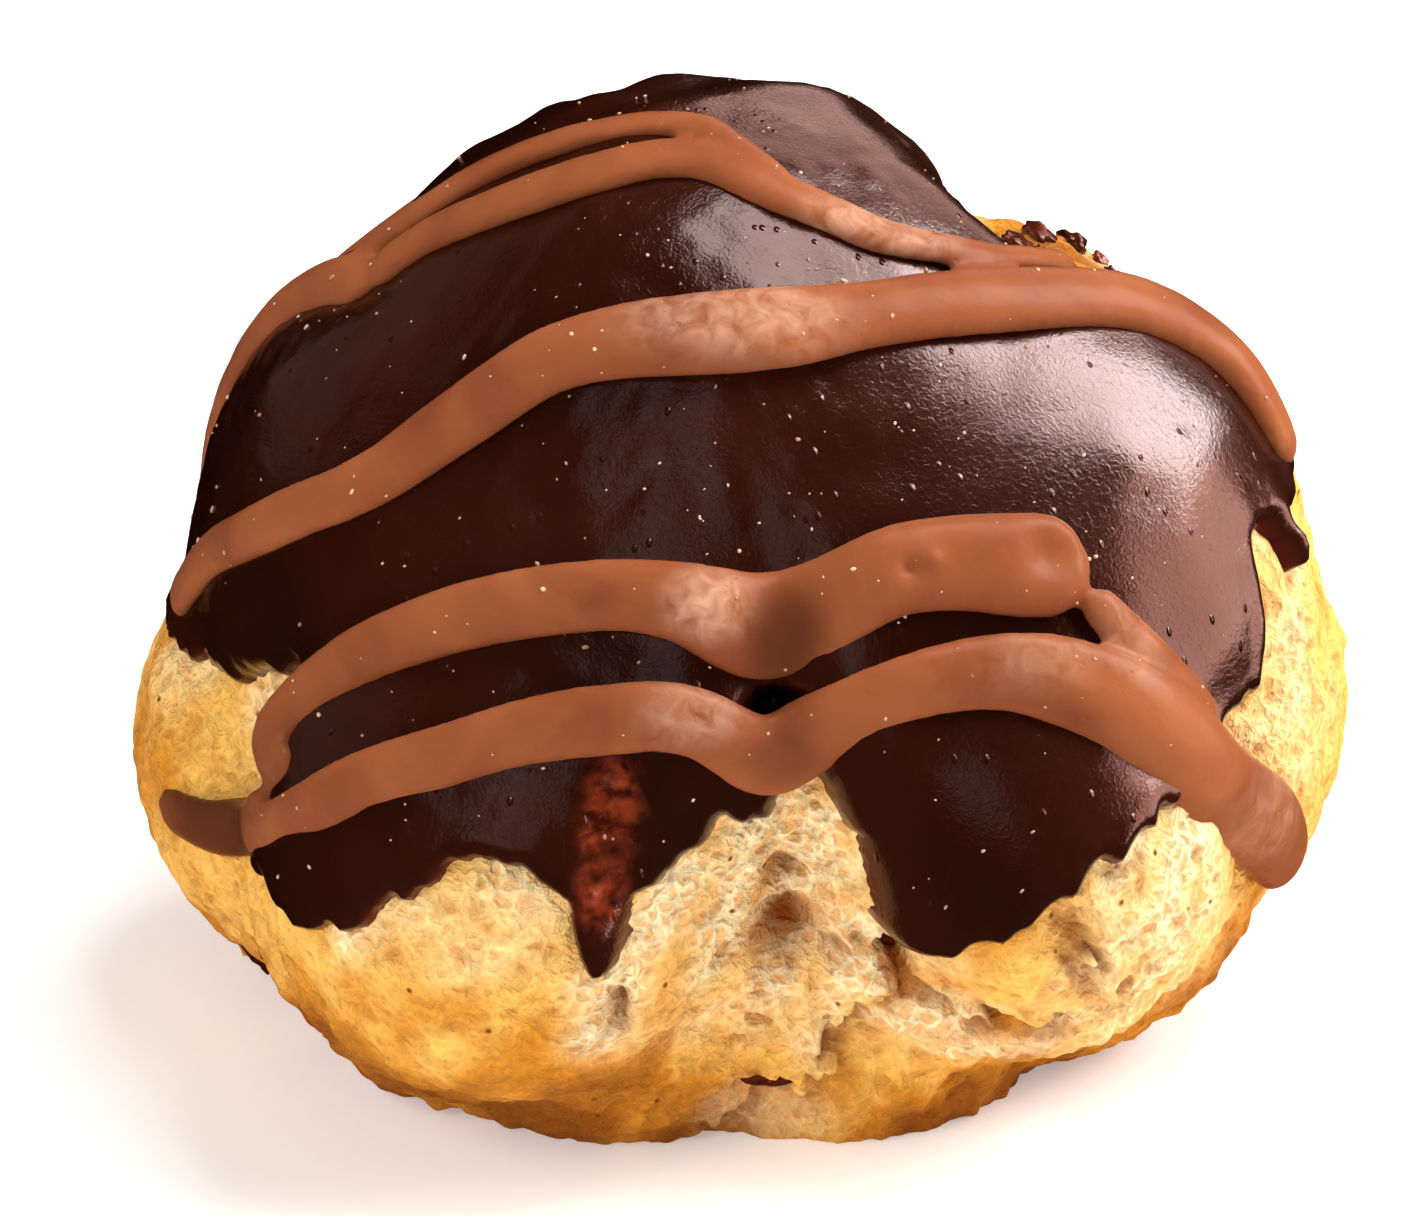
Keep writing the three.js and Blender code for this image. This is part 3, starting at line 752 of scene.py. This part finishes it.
coat_form = bmesh.new()
bmesh.ops.create_icosphere(coat_form, subdivisions=BUN_LEVELS, radius=1.0)
keep = coat_inset(form_ways(coat_form)) > -COAT_TUCK
spare = [f for f in coat_form.faces if not any(keep[v.index] for v in f.verts)]
bmesh.ops.delete(coat_form, geom=spare, context="FACES")
bmesh.ops.solidify(coat_form, geom=list(coat_form.faces), thickness=SHELL_APART)
coat_form.verts.index_update()
outer = np.array([v.co.length > SHELL_BETWEEN for v in coat_form.verts])
near_edge = np.abs(coat_inset(form_ways(coat_form))) < COAT_BAND
cut_finer(coat_form, outer & near_edge, COAT_BAND_CUTS)
cut_finer(coat_form, outer & ~near_edge, COAT_FIELD_CUTS)
outer = np.array([v.co.length > SHELL_BETWEEN for v in coat_form.verts])
coat_ways = form_ways(coat_form)
coat_reach, inset, cover, scuff = coat_surface(coat_ways)
under = np.minimum(bun_reach(coat_ways) - COAT_UNDERSIDE, coat_reach - COAT_LEAST)
coat_points = BUN_MIDDLE + coat_ways * np.where(outer, coat_reach, under)[:, None]
thin = np.exp(-((np.maximum(inset, 0) / COAT_THIN_EDGE) ** 2))

# Tempered dark chocolate: near-black brown that set with a satin skin, so broad soft highlights over
# a fine leathery pucker; thin edges and scuffs show red-brown.
DARK_TONES = ((0.35, "#240a03"), (0.7, "#310f06"))
SCUFF_TONES = ((0.36, "#380d06"), (0.66, "#93381c"))
EDGE_RED = linear("#561a0c")
EDGE_AMOUNT = 0.75
SHEEN_ROSE = linear("#ff9c86")
dark, tree, place = new_material("dark_chocolate")
cloud = noise(tree, place, 9, 3.0)[0]
tone = tone_ramp(tree, cloud, *DARK_TONES)
tone = mix(tree, reckon(tree, "MULTIPLY", mark(tree, "thin"), EDGE_AMOUNT), tone, EDGE_RED)
scuffed = tone_ramp(tree, noise(tree, place, 0.8, 3.0)[0], *SCUFF_TONES)
tone = mix(tree, mark(tree, "scuff"), tone, scuffed)
pucker = reckon(tree, "MULTIPLY", noise(tree, place, 0.3, 2.0, Distortion=1.2)[0], 0.65)
tall = add_node(tree, "Mapping", {0: place, 3: (1.0, 1.0, 0.45)}).outputs[0]
blisters = spots(tree, tall, 0.9, 0.04, 0.2, 1, 0.6, "SMOOTHSTEP")
coat_bump = bump(tree, 0.45, 0.08, reckon(tree, "MULTIPLY_ADD", blisters, 2.6, pucker))
surface(tree, {
    "Base Color": tone, "Roughness": map_range(tree, cloud, 0.0, 1.0, 0.22, 0.3), "IOR": 1.48,
    "Normal": coat_bump, "Specular IOR Level": 0.28, "Specular Tint": SHEEN_ROSE,
    "Coat Weight": 0.55, "Coat Roughness": 0.16, "Coat IOR": 1.5, "Coat Normal": coat_bump,
})

bmesh.ops.recalc_face_normals(coat_form, faces=list(coat_form.faces))
coat = make_piece("dark_chocolate_coat", coat_form, coat_points, {"thin": thin, "scuff": scuff}, dark)
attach(coat, "root")
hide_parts("chocolate_coat")

# The chocolate chips
# Scraps of the same dark chocolate that dropped on the pastry and stuck as they set:
# a crescent under the front lip, a smear low on the left, and crumbs along the bare shoulder.
# Each chip: bearing, height angle, half length, half width, half height and bend in mm, tilt, brownness
CHIPS = {
    "front crescent": (5.1, -37, 1.35, 0.26, 0.3, 0.3, 4, 0.25),
    "left smear": (-76, -33, 1.3, 0.6, 0.4, 0.2, 75, 0.2),
    "left scrap": (-68, -29, 0.5, 0.35, 0.3, 0, 20, 0.2),
    "shoulder edge": (88, 65, 1.6, 0.8, 0.5, 0.2, -50, 0.8),
    "shoulder scrap": (83, 61.5, 1.5, 0.8, 0.45, 0.2, -40, 0.5),
    "shoulder scrap low": (89, 57.6, 1.5, 0.9, 0.5, 0.2, -30, 0.6),
    "shoulder scrap back": (98, 57, 1.5, 0.9, 0.5, 0.1, -20, 0.3),
    "shoulder ridge": (103, 52.5, 1.5, 0.9, 0.55, 0, -15, 0.3),
    "shoulder ridge low": (97, 50.5, 1.3, 0.8, 0.45, 0.1, -25, 0.6),
    "shoulder crumb": (110, 48.5, 1.5, 0.8, 0.6, 0, 0, 0.4),
    "shoulder end": (111, 44.4, 1.5, 0.7, 0.5, 0.2, -12, 0.2),
    "shoulder last": (108, 41.5, 1, 0.5, 0.4, 0, -25, 0.7),
    "shoulder drop": (100, 42, 0.6, 0.4, 0.35, 0, 60, 0.3),
    "back scrap": (146, 20, 0.9, 0.5, 0.4, 0.2, 40, 0.1),
    "back drop": (-150, -8, 0.7, 0.45, 0.4, 0, 10, 0.2),
}
CHIP_SINK = 0.1
CHIP_LUMPS = 0.14
CHIP_LUMP_LENGTH = 24
CHIP_FIRST_SEED = 101
CHIP_BEND_MIDDLE = 0.4
CHIP_THIN = 0.35
FAR_OUT = 60.0


def surface_tree(piece):
    """A search tree over a finished piece's mesh, in metres."""
    mesh = piece.data
    corners = [v.co for v in mesh.vertices]
    return BVHTree.FromPolygons(corners, [list(p.vertices) for p in mesh.polygons])


def touch(tree, way):
    """The outermost place in mm where a ray from outside meets the surface."""
    start = Vector((BUN_MIDDLE + way * FAR_OUT) * MM)
    found = tree.ray_cast(start, Vector(-way))[0]
    return None if found is None else np.array(found) / MM


bun_surface = surface_tree(bun)
chip_form = bmesh.new()
chip_points = []
chip_brown = []
for number, (bearing, height, length, width, rise, bend, tilt, brown) in enumerate(CHIPS.values()):
    ball = bmesh.ops.create_icosphere(chip_form, subdivisions=3, radius=1.0)["verts"]
    out = heading(bearing, height)
    level = heading(bearing + 90, 0)
    upright = np.cross(out, level)
    turn = math.radians(tilt)
    along = level * math.cos(turn) + upright * math.sin(turn)
    aside = np.cross(out, along)
    shape = np.array([v.co for v in ball])
    shape = shape * (1 + CHIP_LUMPS * ripple(shape, CHIP_LUMP_LENGTH, CHIP_FIRST_SEED + number))[:, None]
    sideways = shape[:, 1] * width + bend * (shape[:, 0] ** 2 - CHIP_BEND_MIDDLE)
    spot = touch(bun_surface, out) - out * CHIP_SINK
    chip_points.append(
        spot + np.outer(shape[:, 0] * length, along) + np.outer(sideways, aside)
        + np.outer(shape[:, 2] * rise, out)
    )
    chip_brown.append(np.full(len(ball), brown))
chip_points = np.vstack(chip_points)
chip_marks = {"thin": np.full(len(chip_points), CHIP_THIN), "scuff": np.concatenate(chip_brown)}
chips = make_piece("dark_chocolate_chips", chip_form, chip_points, chip_marks, dark)
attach(chips, "root")

# The milk chocolate drizzle
# Milk chocolate poured from a spoon in swinging ropes, which sank a little as they set on the coat.
# They pool in the front valley, end in a dented knob, and run on over the edge of the coat.
ROPE_SIDES = 16
ROPE_STEP = 0.7
ROPE_HEIGHT = 0.56
ROPE_LIFT = 0.12
ROPE_VOXEL = 0.27
ROPE_SMOOTH = 5
ROPE_SETTLE = 5
ROPE_MEASURE_SAMPLES = 400
ROPE_LEAST_RINGS = 8
ROPE_END = 0.02
ROPE_SWELLS = ((11, 91, 0.04),)
ROPE_WAVES = ((2.6, 93, 0.015),)
ROPE_ABOVE = (-0.4, 0.8)
# Each rope's route: bearing, height angle, half width
ROPES = {
    "top strand": [
        (-88, 45, 1.3), (-86.5, 54, 1.2), (-85, 63.8, 1.1), (-81.9, 70, 1.1), (-76.6, 76, 1.1),
        (-62, 81.4, 1.1), (-30, 83.2, 1.1), (-4, 80.6, 1.15), (10, 77, 1.2), (18, 73.6, 1.1),
    ],
    "crown rope": [
        (-78, 47, 1.4), (-75, 54.4, 1.4), (-69.7, 60, 1.4), (-62, 66.4, 1.4), (-52.9, 71.8, 1.4),
        (-40, 76.4, 1.4), (-15.4, 78.4, 1.45), (12, 74.4, 1.3), (30.4, 70, 1.2), (41.4, 65.9, 1.15),
        (57.6, 61, 1), (71.2, 56.2, 0.95), (85.7, 49.4, 0.95),
    ],
    "left turn": [(-76, 47.5, 1.5), (-86, 43, 1.8), (-92, 34, 1.6), (-98, 20, 1.4), (-100, 8, 1.3)],
    "brow rope": [
        (-84, 4, 1.1), (-77.7, 10.1, 1.25), (-73, 14.6, 1.3), (-65.2, 20.2, 1.4), (-56.6, 26.6, 1.5),
        (-52.4, 29.8, 1.6), (-48.3, 33.9, 1.65), (-41.3, 42.2, 1.8), (-32.9, 50.2, 1.95),
        (-20.8, 54.4, 2.25), (-6.9, 56.2, 2.45), (8.5, 57.1, 2.35), (25.5, 57.7, 2), (43.5, 56.4, 1.9),
        (60.9, 52.2, 1.9), (75.9, 45.4, 2), (83, 37.5, 2), (84, 30.5, 1.9), (81, 20, 1.3),
    ],
    "knob rope": [
        (-46.3, 1.4, 1.4), (-52, 3, 1.5), (-49.5, 8.4, 1.5), (-43.3, 14.7, 1.6), (-35.4, 20, 1.65),
        (-27.9, 23.4, 1.7), (-21.2, 25.4, 1.75), (-14.1, 26.6, 1.85), (-7, 26.3, 2.1), (0.2, 24.3, 2.6),
        (4, 23.8, 2.8), (8, 24.8, 2.6), (13, 26.6, 2.3), (20, 28.6, 2.15), (28, 28.2, 2.35),
        (35, 26.4, 2.75), (43.5, 24, 2.9),
    ],
    "front rope": [
        (-58, -11, 0.9), (-53.6, -7.4, 1.2), (-50, -5.2, 1.35), (-41.4, 1, 1.6), (-36.9, 4.3, 1.65),
        (-30.1, 8, 1.7), (-24.2, 10.7, 1.75), (-18.7, 12.4, 1.75), (-12.6, 13.6, 1.75), (-8.4, 14.1, 1.8),
        (-4.1, 12.9, 1.9), (2.5, 8.9, 2), (5.5, 9.2, 2), (10, 12.2, 1.85), (16, 15.2, 1.75),
        (22.3, 16.4, 1.8), (28.9, 16.2, 1.85), (34, 14.8, 2.1), (39, 11.8, 2.4), (43.2, 8, 2.6),
        (47.4, 3.4, 2.6), (52.5, -2, 2.5), (60.5, -8.4, 2.4), (68, -15, 2.2), (71, -18, 1.9),
    ],
    "branch": [(41.5, 21.6, 1.1), (42.8, 19.4, 1.15), (45.4, 15, 1.3), (48.6, 9.4, 1.5), (52.5, 3.2, 1.6)],
    "left pull": [
        (-47.5, -1, 1.4), (-53, -6.5, 1.6), (-60, -10.5, 1.6), (-68, -13.6, 1.6), (-78.5, -14.8, 1.5),
    ],
    "back high rope": [(-112, 30, 1.4), (-132, 44, 1.8), (-158, 52, 2), (172, 54, 1.9), (148, 52, 1.5)],
    "back low rope": [
        (-116, 6, 1.5), (-134, 20, 1.9), (-155, 34, 2.1), (178, 38, 2.1), (158, 34, 1.8), (148, 28, 1.4),
    ],
}
# Dents and bumps in the set ropes: bearing, height, half width, half height, depth
ROPE_DENTS = {
    "knob dent": (38.2, 26.4, 1.7, 1.3, 1),
    "knob swell": (40, 24.6, 3, 2.6, -0.45),
    "valley sink": (6.5, 24.6, 2.4, 3.4, 1.3),
    "left swell": (-5, 26, 3, 2.6, -0.5),
    "front sink": (6.5, 10.2, 2.6, 2.6, 0.7),
    "front swell": (-5, 13, 3, 2.4, -0.35),
    "dimple": (21.1, 28.6, 0.55, 0.5, 0.5),
    "dimple bump": (23.6, 28.9, 0.5, 0.45, -0.22),
}

# Painted highlights, pale patches on the ropes' skin: bearing, height, half width, half height, amount
ROPE_PAINTED_HIGHLIGHTS = {
    "brow": (-1, 57.6, 5, 2.2, 0.55),
    "crown": (36, 68, 4.5, 1.6, 0.6),
    "crown right": (49, 63.4, 2.6, 1.3, 0.5),
    "knob left": (-3.6, 26.2, 2, 1.7, 0.7),
    "front": (-5, 14.6, 2.4, 1.5, 0.45),
    "branch": (44, 16, 1.6, 2.4, 0.25),
    "front right": (33, 17, 2.5, 1.4, 0.25),
    "rope right end": (58, -6, 3.4, 2.2, 0.28),
}
# Painted shade in the valley and on the left: bearing, height, half width, half height, amount
ROPE_PAINTED_SHADE = {
    "valley pool": (5.6, 22.6, 2.2, 2.6, 0.85),
    "front valley": (5, 9, 1.8, 1.6, 0.4),
    "left pull": (-64, -11.4, 6, 2.6, 0.85),
    "left end": (-50, 1, 1.6, 3, 0.35),
}


def rope_frames(points):
    """Places and frames of a rope's rings: middle, sideways and up in mm, each scaled to its half size."""
    rough_line, _ = smooth_route(points, ROPE_MEASURE_SAMPLES)
    length = np.linalg.norm(np.diff(rough_line, axis=0), axis=1).sum() * MEAN_RADIUS
    samples = max(int(length / ROPE_STEP), ROPE_LEAST_RINGS)
    line, sizes = smooth_route(points, samples)
    half = sizes[:, 0] * (1 + waves_of(line, ROPE_SWELLS))
    reach, edge_inset, _, _ = coat_surface(line)
    support = np.where(edge_inset > 0, reach, bun_reach(line))
    padded = np.pad(support, ROPE_SETTLE, mode="edge")
    support = np.convolve(padded, np.ones(2 * ROPE_SETTLE + 1) / (2 * ROPE_SETTLE + 1), mode="valid")
    middle = line * (support + ROPE_LIFT * half)[:, None]
    run = unit(np.gradient(middle, axis=0))
    side = unit(np.cross(run, line))
    rise = np.cross(side, run)
    walked = np.concatenate([[0], np.cumsum(np.linalg.norm(np.diff(middle, axis=0), axis=1))])
    to_end = np.minimum(walked, walked[-1] - walked)
    blunt = np.sqrt(1 - (1 - np.clip(to_end / half, ROPE_END, 1)) ** 2)
    half = half * blunt
    return [
        Matrix((
            (*(side[i] * half[i]), 0), (*(rise[i] * half[i] * ROPE_HEIGHT), 0), (*(run[i]), 0),
            (*(BUN_MIDDLE + middle[i]), 1),
        )).transposed()
        for i in range(samples)
    ]


rope_form = bmesh.new()
for points in ROPES.values():
    frames = rope_frames(points)
    ring = bmesh.ops.create_circle(rope_form, segments=ROPE_SIDES, radius=1.0, cap_ends=True)["verts"]
    bmesh.ops.transform(rope_form, matrix=frames[0], verts=ring)
    edges = list({e for v in ring for e in v.link_edges})
    for before, after in zip(frames, frames[1:]):
        grown = bmesh.ops.extrude_edge_only(rope_form, edges=edges)["geom"]
        ring = [g for g in grown if isinstance(g, bmesh.types.BMVert)]
        edges = [g for g in grown if isinstance(g, bmesh.types.BMEdge)]
        bmesh.ops.transform(rope_form, matrix=after @ before.inverted(), verts=ring)
    bmesh.ops.edgeloop_fill(rope_form, edges=edges)
bmesh.ops.recalc_face_normals(rope_form, faces=list(rope_form.faces))
bmesh.ops.scale(rope_form, vec=(MM, MM, MM), verts=rope_form.verts)
raw_mesh = bpy.data.meshes.new("raw_drizzle")
rope_form.to_mesh(raw_mesh)
rope_form.free()
raw = add_object("raw_drizzle", raw_mesh)
melt = raw.modifiers.new("melt", "REMESH")
melt.mode = "VOXEL"
melt.voxel_size = ROPE_VOXEL * MM
melted = bpy.data.meshes.new_from_object(raw.evaluated_get(bpy.context.evaluated_depsgraph_get()))
bpy.data.objects.remove(raw)
rope_form = bmesh.new()
rope_form.from_mesh(melted)
for _ in range(ROPE_SMOOTH):
    bmesh.ops.smooth_vert(rope_form, verts=rope_form.verts, factor=0.5, use_axis_x=True, use_axis_y=True,
                          use_axis_z=True)
bmesh.ops.triangulate(rope_form, faces=list(rope_form.faces))
rope_points = np.array([v.co for v in rope_form.verts]) / MM
rope_rays = rope_points - BUN_MIDDLE
rope_reach = np.linalg.norm(rope_rays, axis=1)
rope_ways = rope_rays / rope_reach[:, None]
above = fade(rope_reach - coat_full(rope_ways), *ROPE_ABOVE)
for dent_depth, (_, away) in zip([d[4] for d in ROPE_DENTS.values()], patches(rope_ways, ROPE_DENTS)):
    rope_reach = rope_reach - dent_depth * np.exp(-(away**2)) * above
rope_reach = rope_reach + waves_of(rope_ways, ROPE_WAVES) * above
rope_points = BUN_MIDDLE + rope_ways * rope_reach[:, None]
# The pale mark is painted highlights on the ropes.
painted_highlight = cover_of(rope_ways, ROPE_PAINTED_HIGHLIGHTS)
# The deep mark is painted shade in the valley pool and on the left pull.
painted_shade = cover_of(rope_ways, ROPE_PAINTED_SHADE)

# Milk chocolate: warm tan-brown with a waxy skin that hardly shines; painted highlights in pale patches
# over stronger wrinkles, painted shade where it pools, and fine puckers and pinholes where it set.
MILK_TONES = ((0.3, "#7d4026"), (0.72, "#9c5834"))
MILK_PAINTED_SHADE = linear("#4a2312")
MILK_PAINTED_HIGHLIGHT = linear("#dfac8e")
milk, tree, place = new_material("milk_chocolate")
wrinkle = noise(tree, place, 1.2, 4.0, Distortion=0.8)[0]
painted_highlight_mark = mark(tree, "painted_highlight")
tone = tone_ramp(tree, noise(tree, place, 6, 4.0, Distortion=0.6)[0], *MILK_TONES)
# Painted shade: darker where the ropes pool and on the left pull.
tone = mix(tree, mark(tree, "painted_shade"), tone, MILK_PAINTED_SHADE)
# Painted highlights: pale patches on the wrinkles, over a stronger wrinkle bump.
tone = mix(tree, reckon(tree, "MULTIPLY", map_range(tree, wrinkle, 0.28, 0.72), painted_highlight_mark), tone, MILK_PAINTED_HIGHLIGHT)
pinholes = add_node(tree, "TexVoronoi", {"Vector": place, "Scale": per_mm(1.4)}).outputs[0]
milk_rise = reckon(tree, "ADD", map_range(tree, pinholes, 0.03, 0.12, -0.7, 0.0), wrinkle)
surface(tree, {
    "Base Color": tone, "Roughness": 0.3, "IOR": 1.47, "Specular IOR Level": 0.05,
    "Normal": bump(tree, map_range(tree, painted_highlight_mark, 0.0, 1.0, 0.25, 1.0), 0.15, milk_rise),
})

drizzle = make_piece("milk_chocolate_drizzle", rope_form, rope_points, {"painted_highlight": painted_highlight, "painted_shade": painted_shade}, milk)
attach(drizzle, "root")
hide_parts("chocolate_coat")

# The pale crumbs
# Flecks of pastry, sugar and cocoa butter dusted over the chocolate as it set.
# They are no longer than half a millimetre, and lie on the coat and the ropes.
CRUMB_COUNT = 420
CRUMB_HALF = (0.045, 0.13)
CRUMB_STRETCH = (0.8, 1.9)
CRUMB_FLATTEN = 0.8
CRUMB_FINENESS = 2.5
CRUMB_FROM_EDGE = 1.5
crumb_draw = np.random.default_rng(111)
top_surfaces = [surface_tree(coat), surface_tree(drizzle)]
crumb_form = bmesh.new()
crumb_points = []
while len(crumb_points) < CRUMB_COUNT:
    out = crumb_draw.normal(size=3)
    out /= np.linalg.norm(out)
    half = crumb_draw.uniform(0, 1) ** CRUMB_FINENESS * (CRUMB_HALF[1] - CRUMB_HALF[0]) + CRUMB_HALF[0]
    stretch = crumb_draw.uniform(*CRUMB_STRETCH)
    tilt = crumb_draw.uniform(0, math.pi)
    if coat_inset(out[None])[0] < CRUMB_FROM_EDGE:
        continue
    places = [touch(tree, out) for tree in top_surfaces]
    spot = max((p for p in places if p is not None), key=lambda p: np.linalg.norm(p - BUN_MIDDLE))
    ball = bmesh.ops.create_icosphere(crumb_form, subdivisions=1, radius=1.0)["verts"]
    level = np.cross((0, 0, 1), out)
    level /= np.linalg.norm(level)
    along = level * math.cos(tilt) + np.cross(out, level) * math.sin(tilt)
    shape = np.array([v.co for v in ball]) * half
    crumb_points.append(
        spot + np.outer(shape[:, 0] * stretch, along) + np.outer(shape[:, 1], np.cross(out, along))
        + np.outer(shape[:, 2] * CRUMB_FLATTEN, out)
    )

# Pastry and sugar flecks: pale and dry, so they look matt.
FLECK_TONES = ((0.4, "#b07a5c"), (0.62, "#e2bda0"))
fleck, tree, place = new_material("pastry_flecks")
tone = tone_ramp(tree, noise(tree, place, 4, 1.0)[0], *FLECK_TONES)
surface(tree, {"Base Color": tone, "Roughness": 0.55, "IOR": 1.45, "Specular IOR Level": 0.4})

crumbs = make_piece("pale_crumbs", crumb_form, np.vstack(crumb_points), {}, fleck)
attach(crumbs, "root")

# The studio
# A pale floor, softboxes on the right, overhead and at the front that light the matt surfaces,
# panels that show only as gleams in the gloss, and a weak room light.
STAGE_HALF = 2.0
CAMERA_RISE = 25.0
CAMERA_AWAY = 0.35
CAMERA_LENS = 172.0
CAMERA_SENSOR = 36.0
CAMERA_NEAR = 0.01
ROOM_STRENGTH = 0.28
CAMERA_TARGET = Vector((-1.2, 0, 20.5)) * MM

floor_form = bmesh.new()
bmesh.ops.create_grid(floor_form, x_segments=1, y_segments=1, size=STAGE_HALF)
floor_mesh = bpy.data.meshes.new("floor")
floor_form.to_mesh(floor_mesh)
floor_form.free()
floor = add_object("floor", floor_mesh)
# Matt white paper, lit bright enough to fade to white round the soft shadow.
paper, tree, _ = new_material("white_paper")
surface(tree, {
    "Base Color": linear("#f6f3ef"), "Roughness": 0.9, "Specular IOR Level": 0.1,
    "Emission Color": linear("#ffffff"), "Emission Strength": 0.3,
})
floor.data.materials.append(paper)
floor.visible_glossy = False

# Softboxes that wash over the matt surfaces, and panels that only gleam in the gloss:
# bearing, height angle, distance and side in metres, power in watts
WASHES = {
    "key softbox": (94, 34, 0.55, 0.3, 2.8),
    "overhead softbox": (107, 69, 0.57, 0.3, 3.0),
    "front softbox": (-46, 34, 0.55, 0.3, 1.4),
}
GLEAMS = {
    "right gleam": (106, 40, 0.5, 0.27, 3.7),
    "low right gleam": (90, 10, 0.5, 0.36, 2.6),
    "crown gleam": (158, 31, 0.5, 0.3, 0.6),
    "top gleam": (107, 74, 0.5, 0.3, 2.2),
    "front gleam": (-15, 47, 0.5, 0.15, 0.04),
    "tongue gleam": (-3, 33, 0.5, 0.2, 0.07),
    "left gleam": (-116, 30, 0.5, 0.4, 0.14),
}
WARM_GLEAMS = ("low right gleam", "crown gleam", "left gleam")
for name, (bearing, height, away, size, power) in {**WASHES, **GLEAMS}.items():
    lamp = bpy.data.lights.new(name, "AREA")
    lamp.shape = "SQUARE"
    lamp.size = size
    lamp.energy = power
    if name in WARM_GLEAMS:
        lamp.color = linear("#ffcec0")[:3]
    light = add_object(name, lamp)
    light.location = CAMERA_TARGET + Vector(heading(bearing, height)) * away
    light.rotation_euler = (CAMERA_TARGET - light.location).to_track_quat("-Z", "Y").to_euler()
    light.visible_glossy = name in GLEAMS
    light.visible_diffuse = name in WASHES

room = bpy.data.worlds.new("room")
room.use_nodes = True
room.node_tree.nodes["Background"].inputs["Color"].default_value = linear("#ffffff")
room.node_tree.nodes["Background"].inputs["Strength"].default_value = ROOM_STRENGTH
room.cycles_visibility.glossy = False
bpy.context.scene.world = room

lens = bpy.data.cameras.new("camera")
lens.lens = CAMERA_LENS
lens.sensor_width = CAMERA_SENSOR
lens.clip_start = CAMERA_NEAR
camera = add_object("camera", lens)
climb = math.radians(CAMERA_RISE)
camera.location = CAMERA_TARGET + CAMERA_AWAY * Vector((0, -math.cos(climb), math.sin(climb)))
camera.rotation_euler = (CAMERA_TARGET - camera.location).to_track_quat("-Z", "Y").to_euler()
bpy.context.scene.camera = camera
bpy.context.scene.view_settings.view_transform = "Standard"
bpy.context.scene.view_settings.look = "None"
